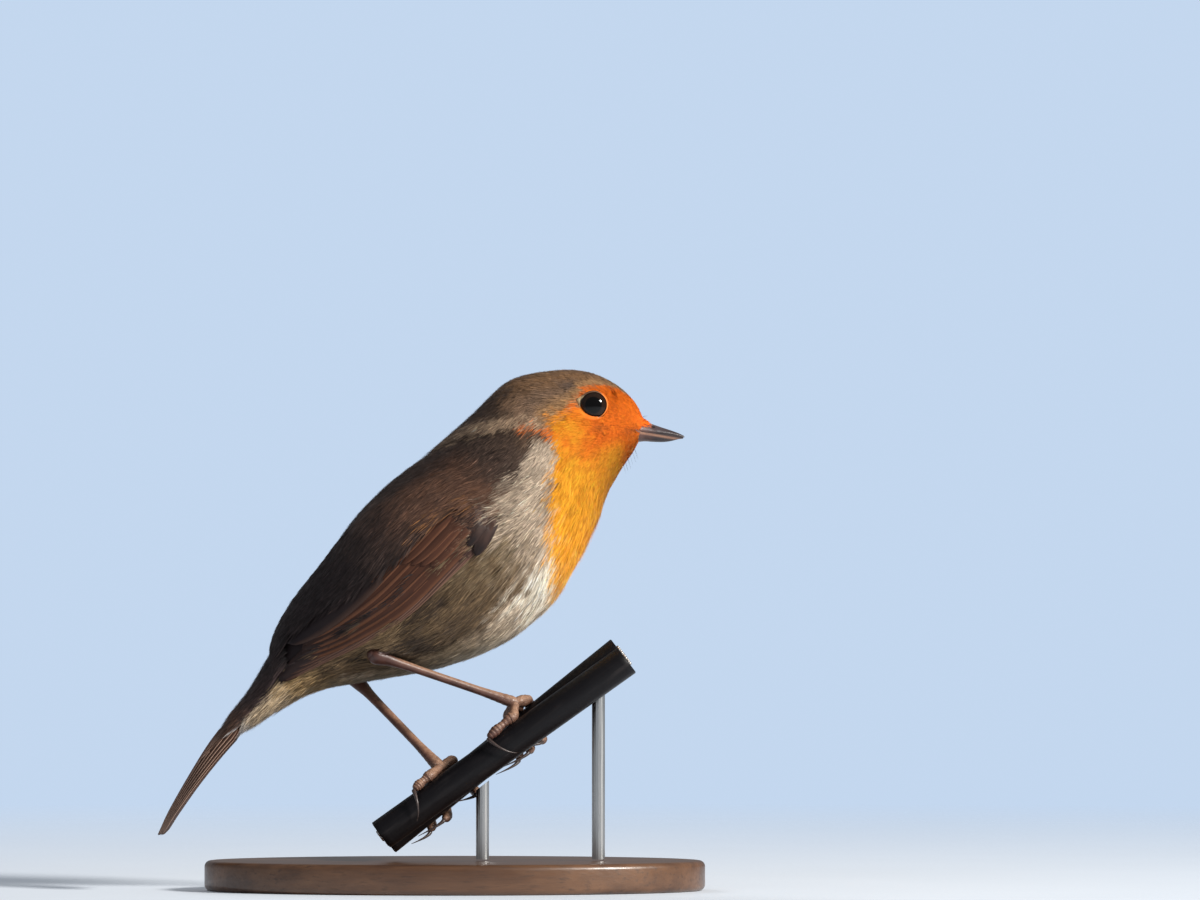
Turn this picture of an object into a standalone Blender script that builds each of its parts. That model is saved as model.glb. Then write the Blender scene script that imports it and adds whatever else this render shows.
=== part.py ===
"""European robin, life size, standing on a short cut length of twin overhead cable.

The bird faces +X with its plane of symmetry at Y = 0, and +Z is up. The origin is the centre of the
display base's underside. Sizes are in millimetres until a mesh is made, where MM turns them to metres.

The head, neck and trunk are one loft, parted with thin cuts across the body. The wings are shells that
lie on the trunk. The legs stand on the cable, and each toe's path is wound round one of its strands.
"""

import math
from collections import namedtuple

import bmesh
import bpy
from mathutils import Vector

MM = 0.001
GAP = 0.3  # clearance between neighbouring pieces
SHARP_EDGE = math.radians(40)  # edges that bend more than this stay sharp in shading

# The body's cross-sections from the bill back. Each runs from a point on the back to a point on the
# underside, both in the plane of symmetry, and is half_width wide to each side.
Section = namedtuple("Section", "name back belly half_width")
BODY = (
    Section("bill_base", (37.6, 94.6), (36.9, 89.9), 2.4),
    Section("lores", (35.7, 98.0), (35.5, 87.4), 4.9),
    Section("forehead", (31.9, 101.4), (33.6, 84.6), 8.0),
    Section("crown", (26.2, 103.8), (31.9, 81.8), 10.0),
    Section("hind_crown", (19.4, 104.0), (30.6, 79.4), 11.0),
    Section("nape", (10.6, 101.9), (29.8, 77.2), 12.0),
    Section("neck", (3.2, 95.2), (29.0, 74.4), 14.0),
    Section("shoulder", (-4.8, 88.0), (27.5, 71.0), 16.2),
    Section("chest", (-13.8, 81.0), (24.4, 64.8), 18.0),
    Section("breast", (-21.2, 73.2), (18.8, 56.4), 18.6),
    Section("abdomen", (-27.0, 64.0), (9.6, 49.2), 16.8),
    Section("flank", (-31.4, 57.0), (-3.0, 44.4), 13.6),
    Section("vent", (-34.8, 51.2), (-16.0, 42.0), 10.4),
    Section("rump", (-38.2, 45.5), (-26.6, 40.0), 8.2),
    Section("tail_root", (-41.2, 40.4), (-34.2, 36.4), 6.6),
    Section("coverts_end", (-44.6, 35.2), (-40.8, 32.2), 5.4),
)
NAMES = [section.name for section in BODY]
SIDES = 26  # points round a body ring
RINGS_PER_SECTION = 3
LOW_SLUNG = 0.06  # how far the widest part of a ring sits below its middle
KEEL = 0.18  # how much the underside narrows between the legs

EYE_CENTRE = (27.7, 7.1, 96.7)
EYE_RADIUS = 3.3

# The bill's rings: distance forward, height of the ridge, of the meeting edges and of the lower edge,
# and half the width.
BILL = (
    (37.9, 93.6, 91.6, 89.75, 2.3),
    (39.6, 93.1, 91.4, 89.65, 1.9),
    (41.5, 92.45, 91.25, 89.6, 1.45),
    (43.2, 91.9, 91.1, 89.8, 1.0),
    (44.8, 91.3, 90.85, 90.2, 0.55),
    (45.9, 90.75, 90.5, 90.3, 0.25),
)
BILL_ARC_POINTS = 9
BILL_MIN_DEPTH = 0.15  # what each half keeps at its tip
LOWER_BILL_WIDTH = 0.92  # of the upper's, which closes over it

# The folded wing, on the trunk's side, from the wrist at the shoulder section to the wing tip.
WING_START = 7.2
WING_END = 13.4
WING_STEPS = 16
WING_ACROSS = 8
WING_LOWER_EDGE = (20, -4, 3, 8, 9, 5, 0)  # degrees above the horizontal, along the wing
WING_UPPER_EDGE = (40, 56, 66, 74, 80, 74, 12)
WING_THICKNESS = 2.2
WING_EDGE_THICKNESS = 0.6
WING_FRONT = 0.08  # the front edge's place in the swell along the wing, so that it isn't thin
WING_FULLEST = 0.7  # moves the thickest part towards the front, as it falls below 1

# The closed tail, a shallow roof of feathers: place of its crest, half width, roof height, thickness.
TAIL = (
    ((-45.2, 34.6), 5.6, 2.4, 1.9),
    ((-49.2, 29.4), 6.4, 2.2, 1.6),
    ((-53.4, 22.6), 7.2, 1.6, 1.2),
    ((-57.0, 16.2), 7.8, 1.1, 0.9),
    ((-58.7, 12.6), 6.6, 0.8, 0.7),
    ((-59.4, 11.0), 3.0, 0.5, 0.6),
)
TAIL_ACROSS = 8
TAIL_ROOF_POWER = 1.5  # how the roof curves down from its crest
TAIL_RINGS_PER_STATION = 3

# The perch: two strands of insulated cable laid round each other on a long pitch.
CABLE_RADIUS = 3.1
CABLE_SPREAD = 3.3  # from the pair's axis to a strand's axis
CABLE_MIDDLE = Vector((5.0, -3.8, 25.1))
CABLE_SLOPE = math.radians(37.2)
CABLE_PITCH = 680.0
CABLE_LOW_END = -24.0
CABLE_HIGH_END = 36.0
CABLE_POINTS = 13
CABLE_ALONG = Vector((math.cos(CABLE_SLOPE), 0, math.sin(CABLE_SLOPE)))
CABLE_UP = Vector((-math.sin(CABLE_SLOPE), 0, math.cos(CABLE_SLOPE)))
CABLE_AWAY = Vector((0, 1, 0))

# The legs: the thigh's top and the heel, the ball of the foot's place up the cable and its height over
# the cable's axis, and the toes.
THIGH_RADII = (4.4, 4.3, 3.4, 2.3, 1.4)
HEEL_RADIUS = 1.35
BALL_RADIUS = 1.3
# The bare leg's share of the way from heel to ball of foot, and its radius there.
TARSUS_SHAPE = (
    (-0.03, 0.95), (0.0, HEEL_RADIUS), (0.06, HEEL_RADIUS), (0.16, 0.95), (0.5, 0.9),
    (0.84, 0.95), (0.94, 1.2), (1.0, BALL_RADIUS), (1.03, 0.9),
)
TOE_RADIUS = 0.78
TOE_ROOT_RADIUS = 0.5
CLAW_RADIUS = 0.45
CLAW_TIP_RADIUS = 0.14
TOE_POINTS = 10
CLAW_POINTS = 6
CLAW_ARCH = 0.35  # how far a claw's middle stands off the strand, and how far its tip closes in
CLAW_DIP = 0.25
HEEL_TO_THIGH = 2.4  # heel radii between the heel's centre and the thigh's end
Leg = namedtuple("Leg", "side hip heel foot lift toes")
# Each toe: the strand it grips, where it starts and ends along the cable, its start and end angle
# round that strand from the top, and the claw tip's place along and angle. Angles grow away from the
# near side.
Toe = namedtuple("Toe", "strand start end angle_start angle_end claw_end claw_angle")
LEGS = (
    Leg(
        "right",
        hip=(-5.5, -12.4, 54.0),
        heel=(-15.6, -11.2, 47.0),
        foot=13.1,
        lift=5.6,
        toes=(
            Toe("near", 11.2, 4.7, -2, -34, 5.9, -126),
            Toe("far", 10.6, 6.8, -4, 172, 1.4, 206),
            Toe("far", 13.1, 9.4, 6, 184, 3.2, 216),
            Toe("far", 15.6, 12.6, 0, 186, 9.4, 226),
        ),
    ),
    Leg(
        "left",
        hip=(-11.0, 9.6, 52.5),
        heel=(-20.6, 10.4, 42.4),
        foot=-6.6,
        lift=4.4,
        toes=(
            Toe("near", -9.0, -13.2, -2, -28, -14.9, -118),
            Toe("far", -4.0, -4.0, -2, 186, -8.3, 226),
            Toe("far", -6.6, -12.3, 6, 192, -18.4, 212),
            Toe("far", -9.2, -15.9, -4, 170, -20.4, 200),
        ),
    ),
)

# The display stand.
BASE_LENGTH = 100.0
BASE_DEPTH = 62.0
BASE_HEIGHT = 6.0
BASE_EDGE = 1.2
ROD_RADIUS = 1.3
ROD_PLACES = {"stand_rod_low": -2.0, "stand_rod_high": 27.0}  # up the cable from CABLE_MIDDLE
ROD_TOP_CLEARANCE = 3.6  # how far below the pair's axis a rod ends, in the valley between the strands


def finish(name, colour, roughness, metallic=0.0):
    """A plain material for one kind of piece."""
    material = bpy.data.materials.get(name)
    if material is None:
        material = bpy.data.materials.new(name)
        material.use_nodes = True
        shader = material.node_tree.nodes["Principled BSDF"]
        shader.inputs["Base Color"].default_value = (*colour, 1.0)
        shader.inputs["Roughness"].default_value = roughness
        shader.inputs["Metallic"].default_value = metallic
    return material


def plumage():
    """Olive-brown feathers of the body."""
    return finish("olive_brown_plumage", (0.16, 0.10, 0.055), 0.8)


def bib():
    """Orange feathers of the face and breast."""
    return finish("orange_plumage", (0.75, 0.22, 0.02), 0.8)


def flight():
    """Long brown feathers of the wings and tail."""
    return finish("brown_flight_feathers", (0.11, 0.065, 0.04), 0.6)


def horn():
    """The bill and claws."""
    return finish("dark_horn", (0.06, 0.045, 0.035), 0.4)


def scaled_skin():
    """The bare legs and toes."""
    return finish("brown_leg_scales", (0.22, 0.12, 0.07), 0.5)


def place(obj, material, collection):
    """Gives an object its material and puts it in the robin's collection only."""
    for owner in list(obj.users_collection):
        owner.objects.unlink(obj)
    collection.objects.link(obj)
    obj.data.materials.clear()
    obj.data.materials.append(material)
    return obj


def object_from(name, mesh, material, collection):
    """Turns a finished bmesh into an object."""
    bmesh.ops.recalc_face_normals(mesh, faces=mesh.faces)
    data = bpy.data.meshes.new(name)
    mesh.to_mesh(data)
    mesh.free()
    obj = bpy.data.objects.new(name, data)
    collection.objects.link(obj)
    data.materials.append(material)
    data.shade_smooth()
    data.set_sharp_from_angle(angle=SHARP_EDGE)
    return obj


def skinned(rings):
    """A closed bmesh through rings of the same number of points, with a cap at each end."""
    mesh = bmesh.new()
    rows = [[mesh.verts.new(Vector(point) * MM) for point in ring] for ring in rings]
    for front, behind in zip(rows, rows[1:]):
        for i in range(len(front)):
            j = (i + 1) % len(front)
            mesh.faces.new((front[i], front[j], behind[j], behind[i]))
    mesh.faces.new(rows[0])
    mesh.faces.new(reversed(rows[-1]))
    return mesh


def smooth_between(values, t):
    """A Catmull-Rom curve through evenly spaced values, which may be numbers or tuples, at t."""
    last = len(values) - 1
    k = min(int(t), last - 1)
    f = t - k
    near = [values[min(max(i, 0), last)] for i in (k - 1, k, k + 1, k + 2)]
    if isinstance(values[0], tuple):
        near = [Vector(value) for value in near]
    before, start, end, after = near
    return 0.5 * (
        2 * start
        + (end - before) * f
        + (2 * before - 5 * start + 4 * end - after) * f * f
        + (3 * start - before - 3 * end + after) * f**3
    )


def body_frame(t):
    """Middle, half-height vector and half width of the body's section at t, counted in sections."""
    back = smooth_between([section.back for section in BODY], t)
    belly = smooth_between([section.belly for section in BODY], t)
    width = smooth_between([section.half_width for section in BODY], t)
    middle = (back + belly) / 2
    rise = (back - belly) / 2
    return Vector((middle.x, 0, middle.y)), Vector((rise.x, 0, rise.y)), width


def body_point(t, angle, outward=0.0):
    """The point on the body at section t, at an angle above the left side's horizontal."""
    middle, rise, width = body_frame(t)
    up, side = math.sin(angle), math.cos(angle)
    width_here = width * (1 - LOW_SLUNG * up - KEEL * max(-up, 0.0) ** 2)
    point = middle + rise * up + Vector((0, width_here * side, 0))
    if outward:
        normal = rise.normalized() * up / rise.length + Vector((0, side / width_here, 0))
        point += normal.normalized() * outward
    return point


def section_plane(index):
    """Point and rearward normal of the plane of one of the named sections."""
    middle, rise, _ = body_frame(index)
    along = Vector((0, 1, 0)).cross(rise).normalized()
    behind, _, _ = body_frame(min(index + 0.5, len(BODY) - 1))
    return middle, along if along.dot(behind - middle) > 0 else -along


def cut_off(mesh, point, normal):
    """Removes what lies on the normal's side of a plane and closes the cut."""
    geometry = [*mesh.verts, *mesh.edges, *mesh.faces]
    cut = bmesh.ops.bisect_plane(
        mesh, geom=geometry, dist=1e-7, plane_co=point * MM, plane_no=normal, clear_outer=True
    )
    rim = [e for e in cut["geom_cut"] if isinstance(e, bmesh.types.BMEdge)]
    bmesh.ops.edgeloop_fill(mesh, edges=rim)


def whole_body():
    """The head, neck and trunk in one closed mesh."""
    turns = [2 * math.pi * i / SIDES for i in range(SIDES)]
    count = (len(BODY) - 1) * RINGS_PER_SECTION
    return skinned([[body_point(i / RINGS_PER_SECTION, a) for a in turns] for i in range(count + 1)])


def body_piece(name, first, last, material, collection):
    """The part of the body between two named sections, or to its end where one is None."""
    mesh = whole_body()
    if first:
        point, normal = section_plane(NAMES.index(first))
        cut_off(mesh, point + normal * GAP / 2, -normal)
    if last:
        point, normal = section_plane(NAMES.index(last))
        cut_off(mesh, point - normal * GAP / 2, normal)
    return object_from(name, mesh, material, collection)


def cutter(obj, collection):
    """Marks an object as a cutting tool, which isn't part of the robin."""
    for owner in list(obj.users_collection):
        owner.objects.unlink(obj)
    collection.objects.link(obj)
    obj.hide_render = True
    obj.display_type = "WIRE"
    return obj


def subtract(obj, tool):
    """Cuts one object's shape out of another."""
    modifier = obj.modifiers.new(f"cut_{tool.name}", "BOOLEAN")
    modifier.operation = "DIFFERENCE"
    modifier.solver = "EXACT"
    modifier.object = tool


def ball(name, centre, radius, segments=16):
    """A sphere primitive at a place given in millimetres."""
    bpy.ops.mesh.primitive_uv_sphere_add(
        segments=segments, ring_count=segments // 2, radius=radius * MM, location=Vector(centre) * MM
    )
    obj = bpy.context.active_object
    obj.name = name
    obj.data.shade_smooth()
    return obj


def build_eyes(head, collection, tools):
    """The two eyes, in sockets cut into the head."""
    x, y, z = EYE_CENTRE
    for side, sign in (("right", -1), ("left", 1)):
        centre = (x, sign * y, z)
        eye = ball(f"eye_{side}", centre, EYE_RADIUS)
        place(eye, finish("black_eye", (0.01, 0.008, 0.007), 0.08), collection)
        socket = cutter(ball(f"socket_{side}", centre, EYE_RADIUS + GAP), tools)
        subtract(head, socket)


def bill_rings(upper):
    """Rings of one half of the bill: an arch over its flat meeting face."""
    rings = []
    for x, ridge, edge, low, half_width in BILL:
        foot = edge + GAP / 2 if upper else edge - GAP / 2
        height = max(ridge - foot, BILL_MIN_DEPTH) if upper else min(low - foot, -BILL_MIN_DEPTH)
        if not upper:
            half_width *= LOWER_BILL_WIDTH
        arc = [math.pi * i / (BILL_ARC_POINTS - 1) for i in range(BILL_ARC_POINTS)]
        rings.append([(x, half_width * math.cos(a), foot + height * math.sin(a)) for a in arc])
    return rings


def build_bill(collection):
    """The upper and lower halves of the bill, closed on each other."""
    for name, upper in (("bill_upper", True), ("bill_lower", False)):
        object_from(name, skinned(bill_rings(upper)), horn(), collection)


def wing_edge(edge, f):
    """An edge's angle at a share f of the wing's length, in radians."""
    return math.radians(smooth_between(edge, f * (len(edge) - 1)))


def wing_row(f, sign):
    """One closed ring across the wing: its inner face against the body, then its outer face back."""
    t = WING_START + (WING_END - WING_START) * f
    low, high = wing_edge(WING_LOWER_EDGE, f), wing_edge(WING_UPPER_EDGE, f)
    along = (WING_FRONT + (1 - WING_FRONT) * f) ** WING_FULLEST
    swell = (WING_THICKNESS - WING_EDGE_THICKNESS) * math.sqrt(max(math.sin(math.pi * along), 0.0))
    inner, outer = [], []
    for i in range(WING_ACROSS + 1):
        v = i / WING_ACROSS
        angle = low + (high - low) * v
        thickness = WING_EDGE_THICKNESS + swell * math.sqrt(max(math.sin(math.pi * v), 0.0))
        inner.append(body_point(t, angle, GAP))
        outer.append(body_point(t, angle, GAP + thickness))
    ring = inner + outer[::-1]
    return [(p.x, sign * p.y, p.z) for p in ring]


def build_wings(collection):
    """The folded wings, as shells that follow the trunk."""
    for side, sign in (("right", -1), ("left", 1)):
        rows = [wing_row(i / WING_STEPS, sign) for i in range(WING_STEPS + 1)]
        object_from(f"wing_{side}", skinned(rows), flight(), collection)


def tail_ring(t):
    """One ring across the tail: over its roof, then back under it."""
    crest = smooth_between([station[0] for station in TAIL], t)
    ahead = smooth_between([station[0] for station in TAIL], max(t - 0.2, 0.0))
    behind = smooth_between([station[0] for station in TAIL], min(t + 0.2, len(TAIL) - 1))
    half_width, roof, thickness = (
        smooth_between([station[k] for station in TAIL], t) for k in (1, 2, 3)
    )
    along = (behind - ahead).normalized()
    up = Vector((along.y, -along.x))
    up = up if up.y > 0 else -up
    over, under = [], []
    for i in range(TAIL_ACROSS + 1):
        v = 2 * i / TAIL_ACROSS - 1
        top = crest - up * roof * abs(v) ** TAIL_ROOF_POWER
        low = top - up * thickness
        over.append((top.x, v * half_width, top.y))
        under.append((low.x, v * half_width, low.y))
    return over + under[::-1]


def build_tail(collection):
    """The closed tail, one solid for its twelve feathers."""
    count = (len(TAIL) - 1) * TAIL_RINGS_PER_STATION
    rings = [tail_ring(i / TAIL_RINGS_PER_STATION) for i in range(count + 1)]
    object_from("tail", skinned(rings), flight(), collection)


def tube(name, points, radii, material, collection, resolution=2):
    """A tapering round piece along a path, both in millimetres."""
    data = bpy.data.curves.new(name, "CURVE")
    data.dimensions = "3D"
    data.bevel_depth = MM
    data.bevel_resolution = resolution
    data.use_fill_caps = True
    spline = data.splines.new("POLY")
    spline.points.add(len(points) - 1)
    for knot, point, radius in zip(spline.points, points, radii):
        knot.co = (*(Vector(point) * MM), 1.0)
        knot.radius = radius
    obj = bpy.data.objects.new(name, data)
    collection.objects.link(obj)
    data.materials.append(material)
    return obj


def strand_centre(strand, s):
    """A strand's axis at a distance s up the cable from the crossing point."""
    turn = 2 * math.pi * s / CABLE_PITCH
    sign = 1 if strand == "far" else -1
    offset = CABLE_AWAY * math.cos(turn) + CABLE_UP * math.sin(turn)
    return CABLE_MIDDLE + CABLE_ALONG * s + offset * CABLE_SPREAD * sign


def on_strand(strand, s, degrees, height):
    """A point height above a strand's axis, at an angle round it from the top towards the far side."""
    angle = math.radians(degrees)
    outward = CABLE_UP * math.cos(angle) + CABLE_AWAY * math.sin(angle)
    return strand_centre(strand, s) + outward * height


def build_perch(collection):
    """The cut length of twin cable."""
    material = finish("black_cable", (0.012, 0.011, 0.012), 0.45)
    step = (CABLE_HIGH_END - CABLE_LOW_END) / (CABLE_POINTS - 1)
    for strand in ("near", "far"):
        points = [strand_centre(strand, CABLE_LOW_END + step * i) for i in range(CABLE_POINTS)]
        radii = [CABLE_RADIUS] * CABLE_POINTS
        tube(f"perch_strand_{strand}", points, radii, material, collection, resolution=6)


def ball_of_foot(leg):
    """Where the toes meet, above the valley between the strands."""
    return CABLE_MIDDLE + CABLE_ALONG * leg.foot + CABLE_UP * leg.lift


def toe_path(leg, toe):
    """The toe's centreline: out from the ball of the foot and round its strand."""
    height = CABLE_RADIUS + TOE_RADIUS + GAP
    points = []
    for i in range(TOE_POINTS):
        f = i / (TOE_POINTS - 1)
        s = toe.start + (toe.end - toe.start) * f
        degrees = toe.angle_start + (toe.angle_end - toe.angle_start) * f
        points.append(on_strand(toe.strand, s, degrees, height))
    hub = ball_of_foot(leg)
    return [hub + (points[0] - hub).normalized() * (BALL_RADIUS + 2 * GAP), *points]


def claw_path(leg, toe):
    """The claw's centreline, on round the strand from the toe's end."""
    base = CABLE_RADIUS + TOE_RADIUS + GAP
    end = toe_path(leg, toe)[-2:]
    start = (end[1] - end[0]).normalized() * CLAW_RADIUS * 1.2
    points = []
    for i in range(CLAW_POINTS):
        f = i / (CLAW_POINTS - 1)
        s = toe.end + (toe.claw_end - toe.end) * f
        degrees = toe.angle_end + (toe.claw_angle - toe.angle_end) * f
        height = base + CLAW_ARCH * math.sin(math.pi * f) - CLAW_DIP * f
        points.append(on_strand(toe.strand, s, degrees, height) + start * (1 - f) ** 2)
    return points


def thigh_path(leg):
    """The thigh's centreline, from inside the flank to just short of the heel."""
    hip, heel = Vector(leg.hip), Vector(leg.heel)
    down = heel - hip
    step = (down.length - HEEL_TO_THIGH * HEEL_RADIUS) / (len(THIGH_RADII) - 1)
    return [hip + down.normalized() * step * i for i in range(len(THIGH_RADII))]


def make_room(trunk, name, path, radii, collection, tools):
    """Cuts a pocket in the trunk for a tube that passes through its surface."""
    down = (path[-1] - path[0]).normalized()
    longer = [path[0] - down * GAP, *path[1:-1], path[-1] + down * GAP]
    wider = [radius + GAP for radius in radii]
    pocket = tube(name, longer, wider, plumage(), collection, resolution=3)
    subtract(trunk, cutter(solid_from(pocket, collection), tools))


def build_leg(leg, collection, tools, trunk):
    """One leg: thigh, bare tarsus, four toes and four claws. The trunk gets a pocket for the thigh."""
    path = thigh_path(leg)
    thigh = tube(f"thigh_{leg.side}", path, THIGH_RADII, plumage(), collection, resolution=3)
    solid_from(thigh, collection)
    make_room(trunk, f"thigh_room_{leg.side}", path, THIGH_RADII, collection, tools)

    heel, hub = Vector(leg.heel), ball_of_foot(leg)
    points = [heel.lerp(hub, share) for share, _ in TARSUS_SHAPE]
    radii = [radius for _, radius in TARSUS_SHAPE]
    tube(f"tarsus_{leg.side}", points, radii, scaled_skin(), collection)
    upper_half = (len(points) + 1) // 2
    make_room(trunk, f"heel_room_{leg.side}", points[:upper_half], radii[:upper_half], collection, tools)

    for number, toe in enumerate(leg.toes, start=1):
        path = toe_path(leg, toe)
        radii = [TOE_ROOT_RADIUS] + [TOE_RADIUS * (1.0 - 0.12 * (i % 2)) for i in range(TOE_POINTS)]
        tube(f"toe_{leg.side}_{number}", path, radii, scaled_skin(), collection)
        span = CLAW_POINTS - 1
        taper = [CLAW_RADIUS + (CLAW_TIP_RADIUS - CLAW_RADIUS) * i / span for i in range(CLAW_POINTS)]
        tube(f"claw_{leg.side}_{number}", claw_path(leg, toe), taper, horn(), collection, resolution=1)


def solid_from(curve, collection):
    """A curve's tube as a closed mesh object of the same name, so that it can be cut."""
    bpy.context.view_layer.update()
    graph = bpy.context.evaluated_depsgraph_get()
    data = bpy.data.meshes.new_from_object(curve.evaluated_get(graph))
    mesh = bmesh.new()
    mesh.from_mesh(data)
    bmesh.ops.remove_doubles(mesh, verts=mesh.verts, dist=1e-6)
    bmesh.ops.recalc_face_normals(mesh, faces=mesh.faces)
    mesh.to_mesh(data)
    mesh.free()
    name, world = curve.name, curve.matrix_world.copy()
    bpy.data.objects.remove(curve)
    obj = bpy.data.objects.new(name, data)
    obj.matrix_world = world
    collection.objects.link(obj)
    return obj


def build_stand(collection):
    """An oval wooden base and two steel rods that end under the cable."""
    bpy.ops.mesh.primitive_cylinder_add(
        vertices=48, radius=0.5, depth=1.0, location=(0, 0, BASE_HEIGHT * MM / 2)
    )
    base = bpy.context.active_object
    base.name = "stand_base"
    base.scale = (BASE_LENGTH * MM, BASE_DEPTH * MM, BASE_HEIGHT * MM)
    bpy.ops.object.transform_apply(location=False, rotation=False, scale=True)
    bevel = base.modifiers.new("soft_edge", "BEVEL")
    bevel.width = BASE_EDGE * MM
    bevel.segments = 2
    bevel.limit_method = "ANGLE"
    place(base, finish("dark_wood", (0.10, 0.05, 0.025), 0.4), collection)

    steel = finish("brushed_steel", (0.55, 0.55, 0.55), 0.3, metallic=1.0)
    foot = BASE_HEIGHT + GAP
    for name, s in ROD_PLACES.items():
        top = CABLE_MIDDLE + CABLE_ALONG * s - CABLE_UP * ROD_TOP_CLEARANCE
        mesh = bmesh.new()
        reach = top.z - foot + 2 * ROD_RADIUS
        radius = ROD_RADIUS * MM
        bmesh.ops.create_cone(
            mesh, cap_ends=True, segments=16, radius1=radius, radius2=radius, depth=reach * MM
        )
        shift = Vector((top.x, top.y, foot + reach / 2)) * MM
        bmesh.ops.translate(mesh, verts=mesh.verts, vec=shift)
        cut_off(mesh, top, CABLE_UP)
        object_from(name, mesh, steel, collection)


def build_robin():
    """The whole model, from an empty scene."""
    for obj in list(bpy.data.objects):
        bpy.data.objects.remove(obj)
    scene = bpy.context.scene
    robin = bpy.data.collections.new("european_robin")
    tools = bpy.data.collections.new("cutters")
    scene.collection.children.link(robin)
    scene.collection.children.link(tools)

    head = body_piece("head", None, "nape", bib(), robin)
    body_piece("neck", "nape", "shoulder", bib(), robin)
    trunk = body_piece("trunk", "shoulder", None, plumage(), robin)
    build_eyes(head, robin, tools)
    build_bill(robin)
    build_wings(robin)
    build_tail(robin)

    for leg in LEGS:
        build_leg(leg, robin, tools, trunk)
    build_perch(robin)
    build_stand(robin)


if __name__ == "__main__":
    build_robin()
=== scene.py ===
"""Dresses the robin model: skin, coat, flight feathers, bill, eyes, legs, cable and display stand."""

import logging
import math
from collections.abc import Callable, Sequence
from dataclasses import dataclass, field
from enum import Enum
from functools import cached_property, partial

import bmesh
import bpy
import numpy as np
from mathutils import Matrix, Vector


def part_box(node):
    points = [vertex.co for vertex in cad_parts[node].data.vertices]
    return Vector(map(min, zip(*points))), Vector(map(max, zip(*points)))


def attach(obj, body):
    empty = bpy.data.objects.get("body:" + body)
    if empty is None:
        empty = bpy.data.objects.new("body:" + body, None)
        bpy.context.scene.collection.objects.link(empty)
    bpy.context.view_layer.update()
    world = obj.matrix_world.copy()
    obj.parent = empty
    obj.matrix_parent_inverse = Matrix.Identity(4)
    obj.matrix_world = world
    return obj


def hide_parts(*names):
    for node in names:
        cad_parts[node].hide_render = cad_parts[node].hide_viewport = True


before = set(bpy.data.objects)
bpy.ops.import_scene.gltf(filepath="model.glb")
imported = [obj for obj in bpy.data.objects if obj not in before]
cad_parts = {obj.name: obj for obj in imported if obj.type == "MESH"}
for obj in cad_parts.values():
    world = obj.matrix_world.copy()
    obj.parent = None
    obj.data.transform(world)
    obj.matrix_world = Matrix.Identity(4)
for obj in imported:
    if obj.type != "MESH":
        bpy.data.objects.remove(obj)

LOG = logging.getLogger("robin")
MM = 0.001
MARKINGS = "markings"  # the colour attribute that skin, coat and vanes carry
BAKE_MAP = "OFBake"
VANE_MAP = "vane"  # millimetres across and along a flight feather
TUFT_PATCH = 0.003
BODY = "root"
NUDGE = 0.02  # the small change of t or angle over which slopes are taken
Array = np.ndarray
Colour = tuple[float, float, float]
Mesh = bmesh.types.BMesh
Verts = Sequence[bmesh.types.BMVert]
Socket = bpy.types.NodeSocket
Material = bpy.types.Material
Shape = Callable[[Array, Array], Array]


class Side(Enum):
    """The bird's own right and left, as the sign of Y."""

    RIGHT = -1
    LEFT = 1

    @property
    def word(self) -> str:
        """The side as it stands in a node's name."""
        return self.name.lower()


class Slot(Enum):
    """The record's material slots."""

    ORANGE = "orange_plumage"
    PLUMAGE = "body_plumage"
    FLIGHT = "flight_feathers"
    HORN = "horn"
    EYE = "eye"
    LEG = "leg_scales"
    CABLE = "cable"
    WOOD = "stand_wood"
    STEEL = "stand_steel"


# ---------------------------------------------------------------- small tools


def catmull_rom(values: Array, t: Array) -> Array:
    """A smooth curve through evenly spaced rows of values.

    Args:
        values: The rows, one for each whole number of t.
        t: Where the curve is wanted.

    Returns:
        One row for each t; past either end the curve goes straight on.
    """
    last = len(values) - 1
    inside = np.clip(t, 0, last)
    k = np.minimum(inside.astype(int), last - 1)
    f = (inside - k)[:, None]
    a, b, c, d = (values[np.clip(k + i, 0, last)] for i in (-1, 0, 1, 2))
    curve = 0.5 * (2 * b + (c - a) * f + (2 * a - 5 * b + 4 * c - d) * f**2
                   + (3 * b - a - 3 * c + d) * f**3)
    over = (t - inside)[:, None]
    return curve + np.where(over > 0, over * (values[-1] - values[-2]), over * (values[1] - values[0]))


def table(t: Array, *knots: tuple[float, float]) -> Array:
    """Straight lines between (place, value) knots."""
    places, values = zip(*knots)
    return np.interp(t, places, values)


def step_up(low: float, high: float, value: Array) -> Array:
    """A soft step from 0 at low to 1 at high; it falls where high is the smaller."""
    x = np.clip((value - low) / (high - low), 0.0, 1.0)
    return x * x * (3 - 2 * x)


def hump(value: Array, middle: float, width: float) -> Array:
    """A soft hump of height 1 about a middle."""
    return np.exp(-(((value - middle) / width) ** 2))


def blend_to(base: Array, colour: Colour | Array, weight: Array) -> Array:
    """Colours moved towards another colour by a weight for each row."""
    return base + (np.asarray(colour) - base) * np.clip(weight, 0, 1)[:, None]


def layered(first: Colour, *layers: tuple[Colour, Array]) -> Array:
    """One colour everywhere, with others laid over it in turn.

    Args:
        first: The colour at the bottom.
        *layers: Colours and their weights, one weight for each row.

    Returns:
        One colour for each row.
    """
    out = np.tile(np.array(first), (len(layers[0][1]), 1))
    for colour, weight in layers:
        out = blend_to(out, colour, weight)
    return out


def mixed(first: Array, second: Array, share: Array) -> Array:
    """Two sets of colours mixed, row by row."""
    return first * (1 - share[:, None]) + second * share[:, None]


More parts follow.
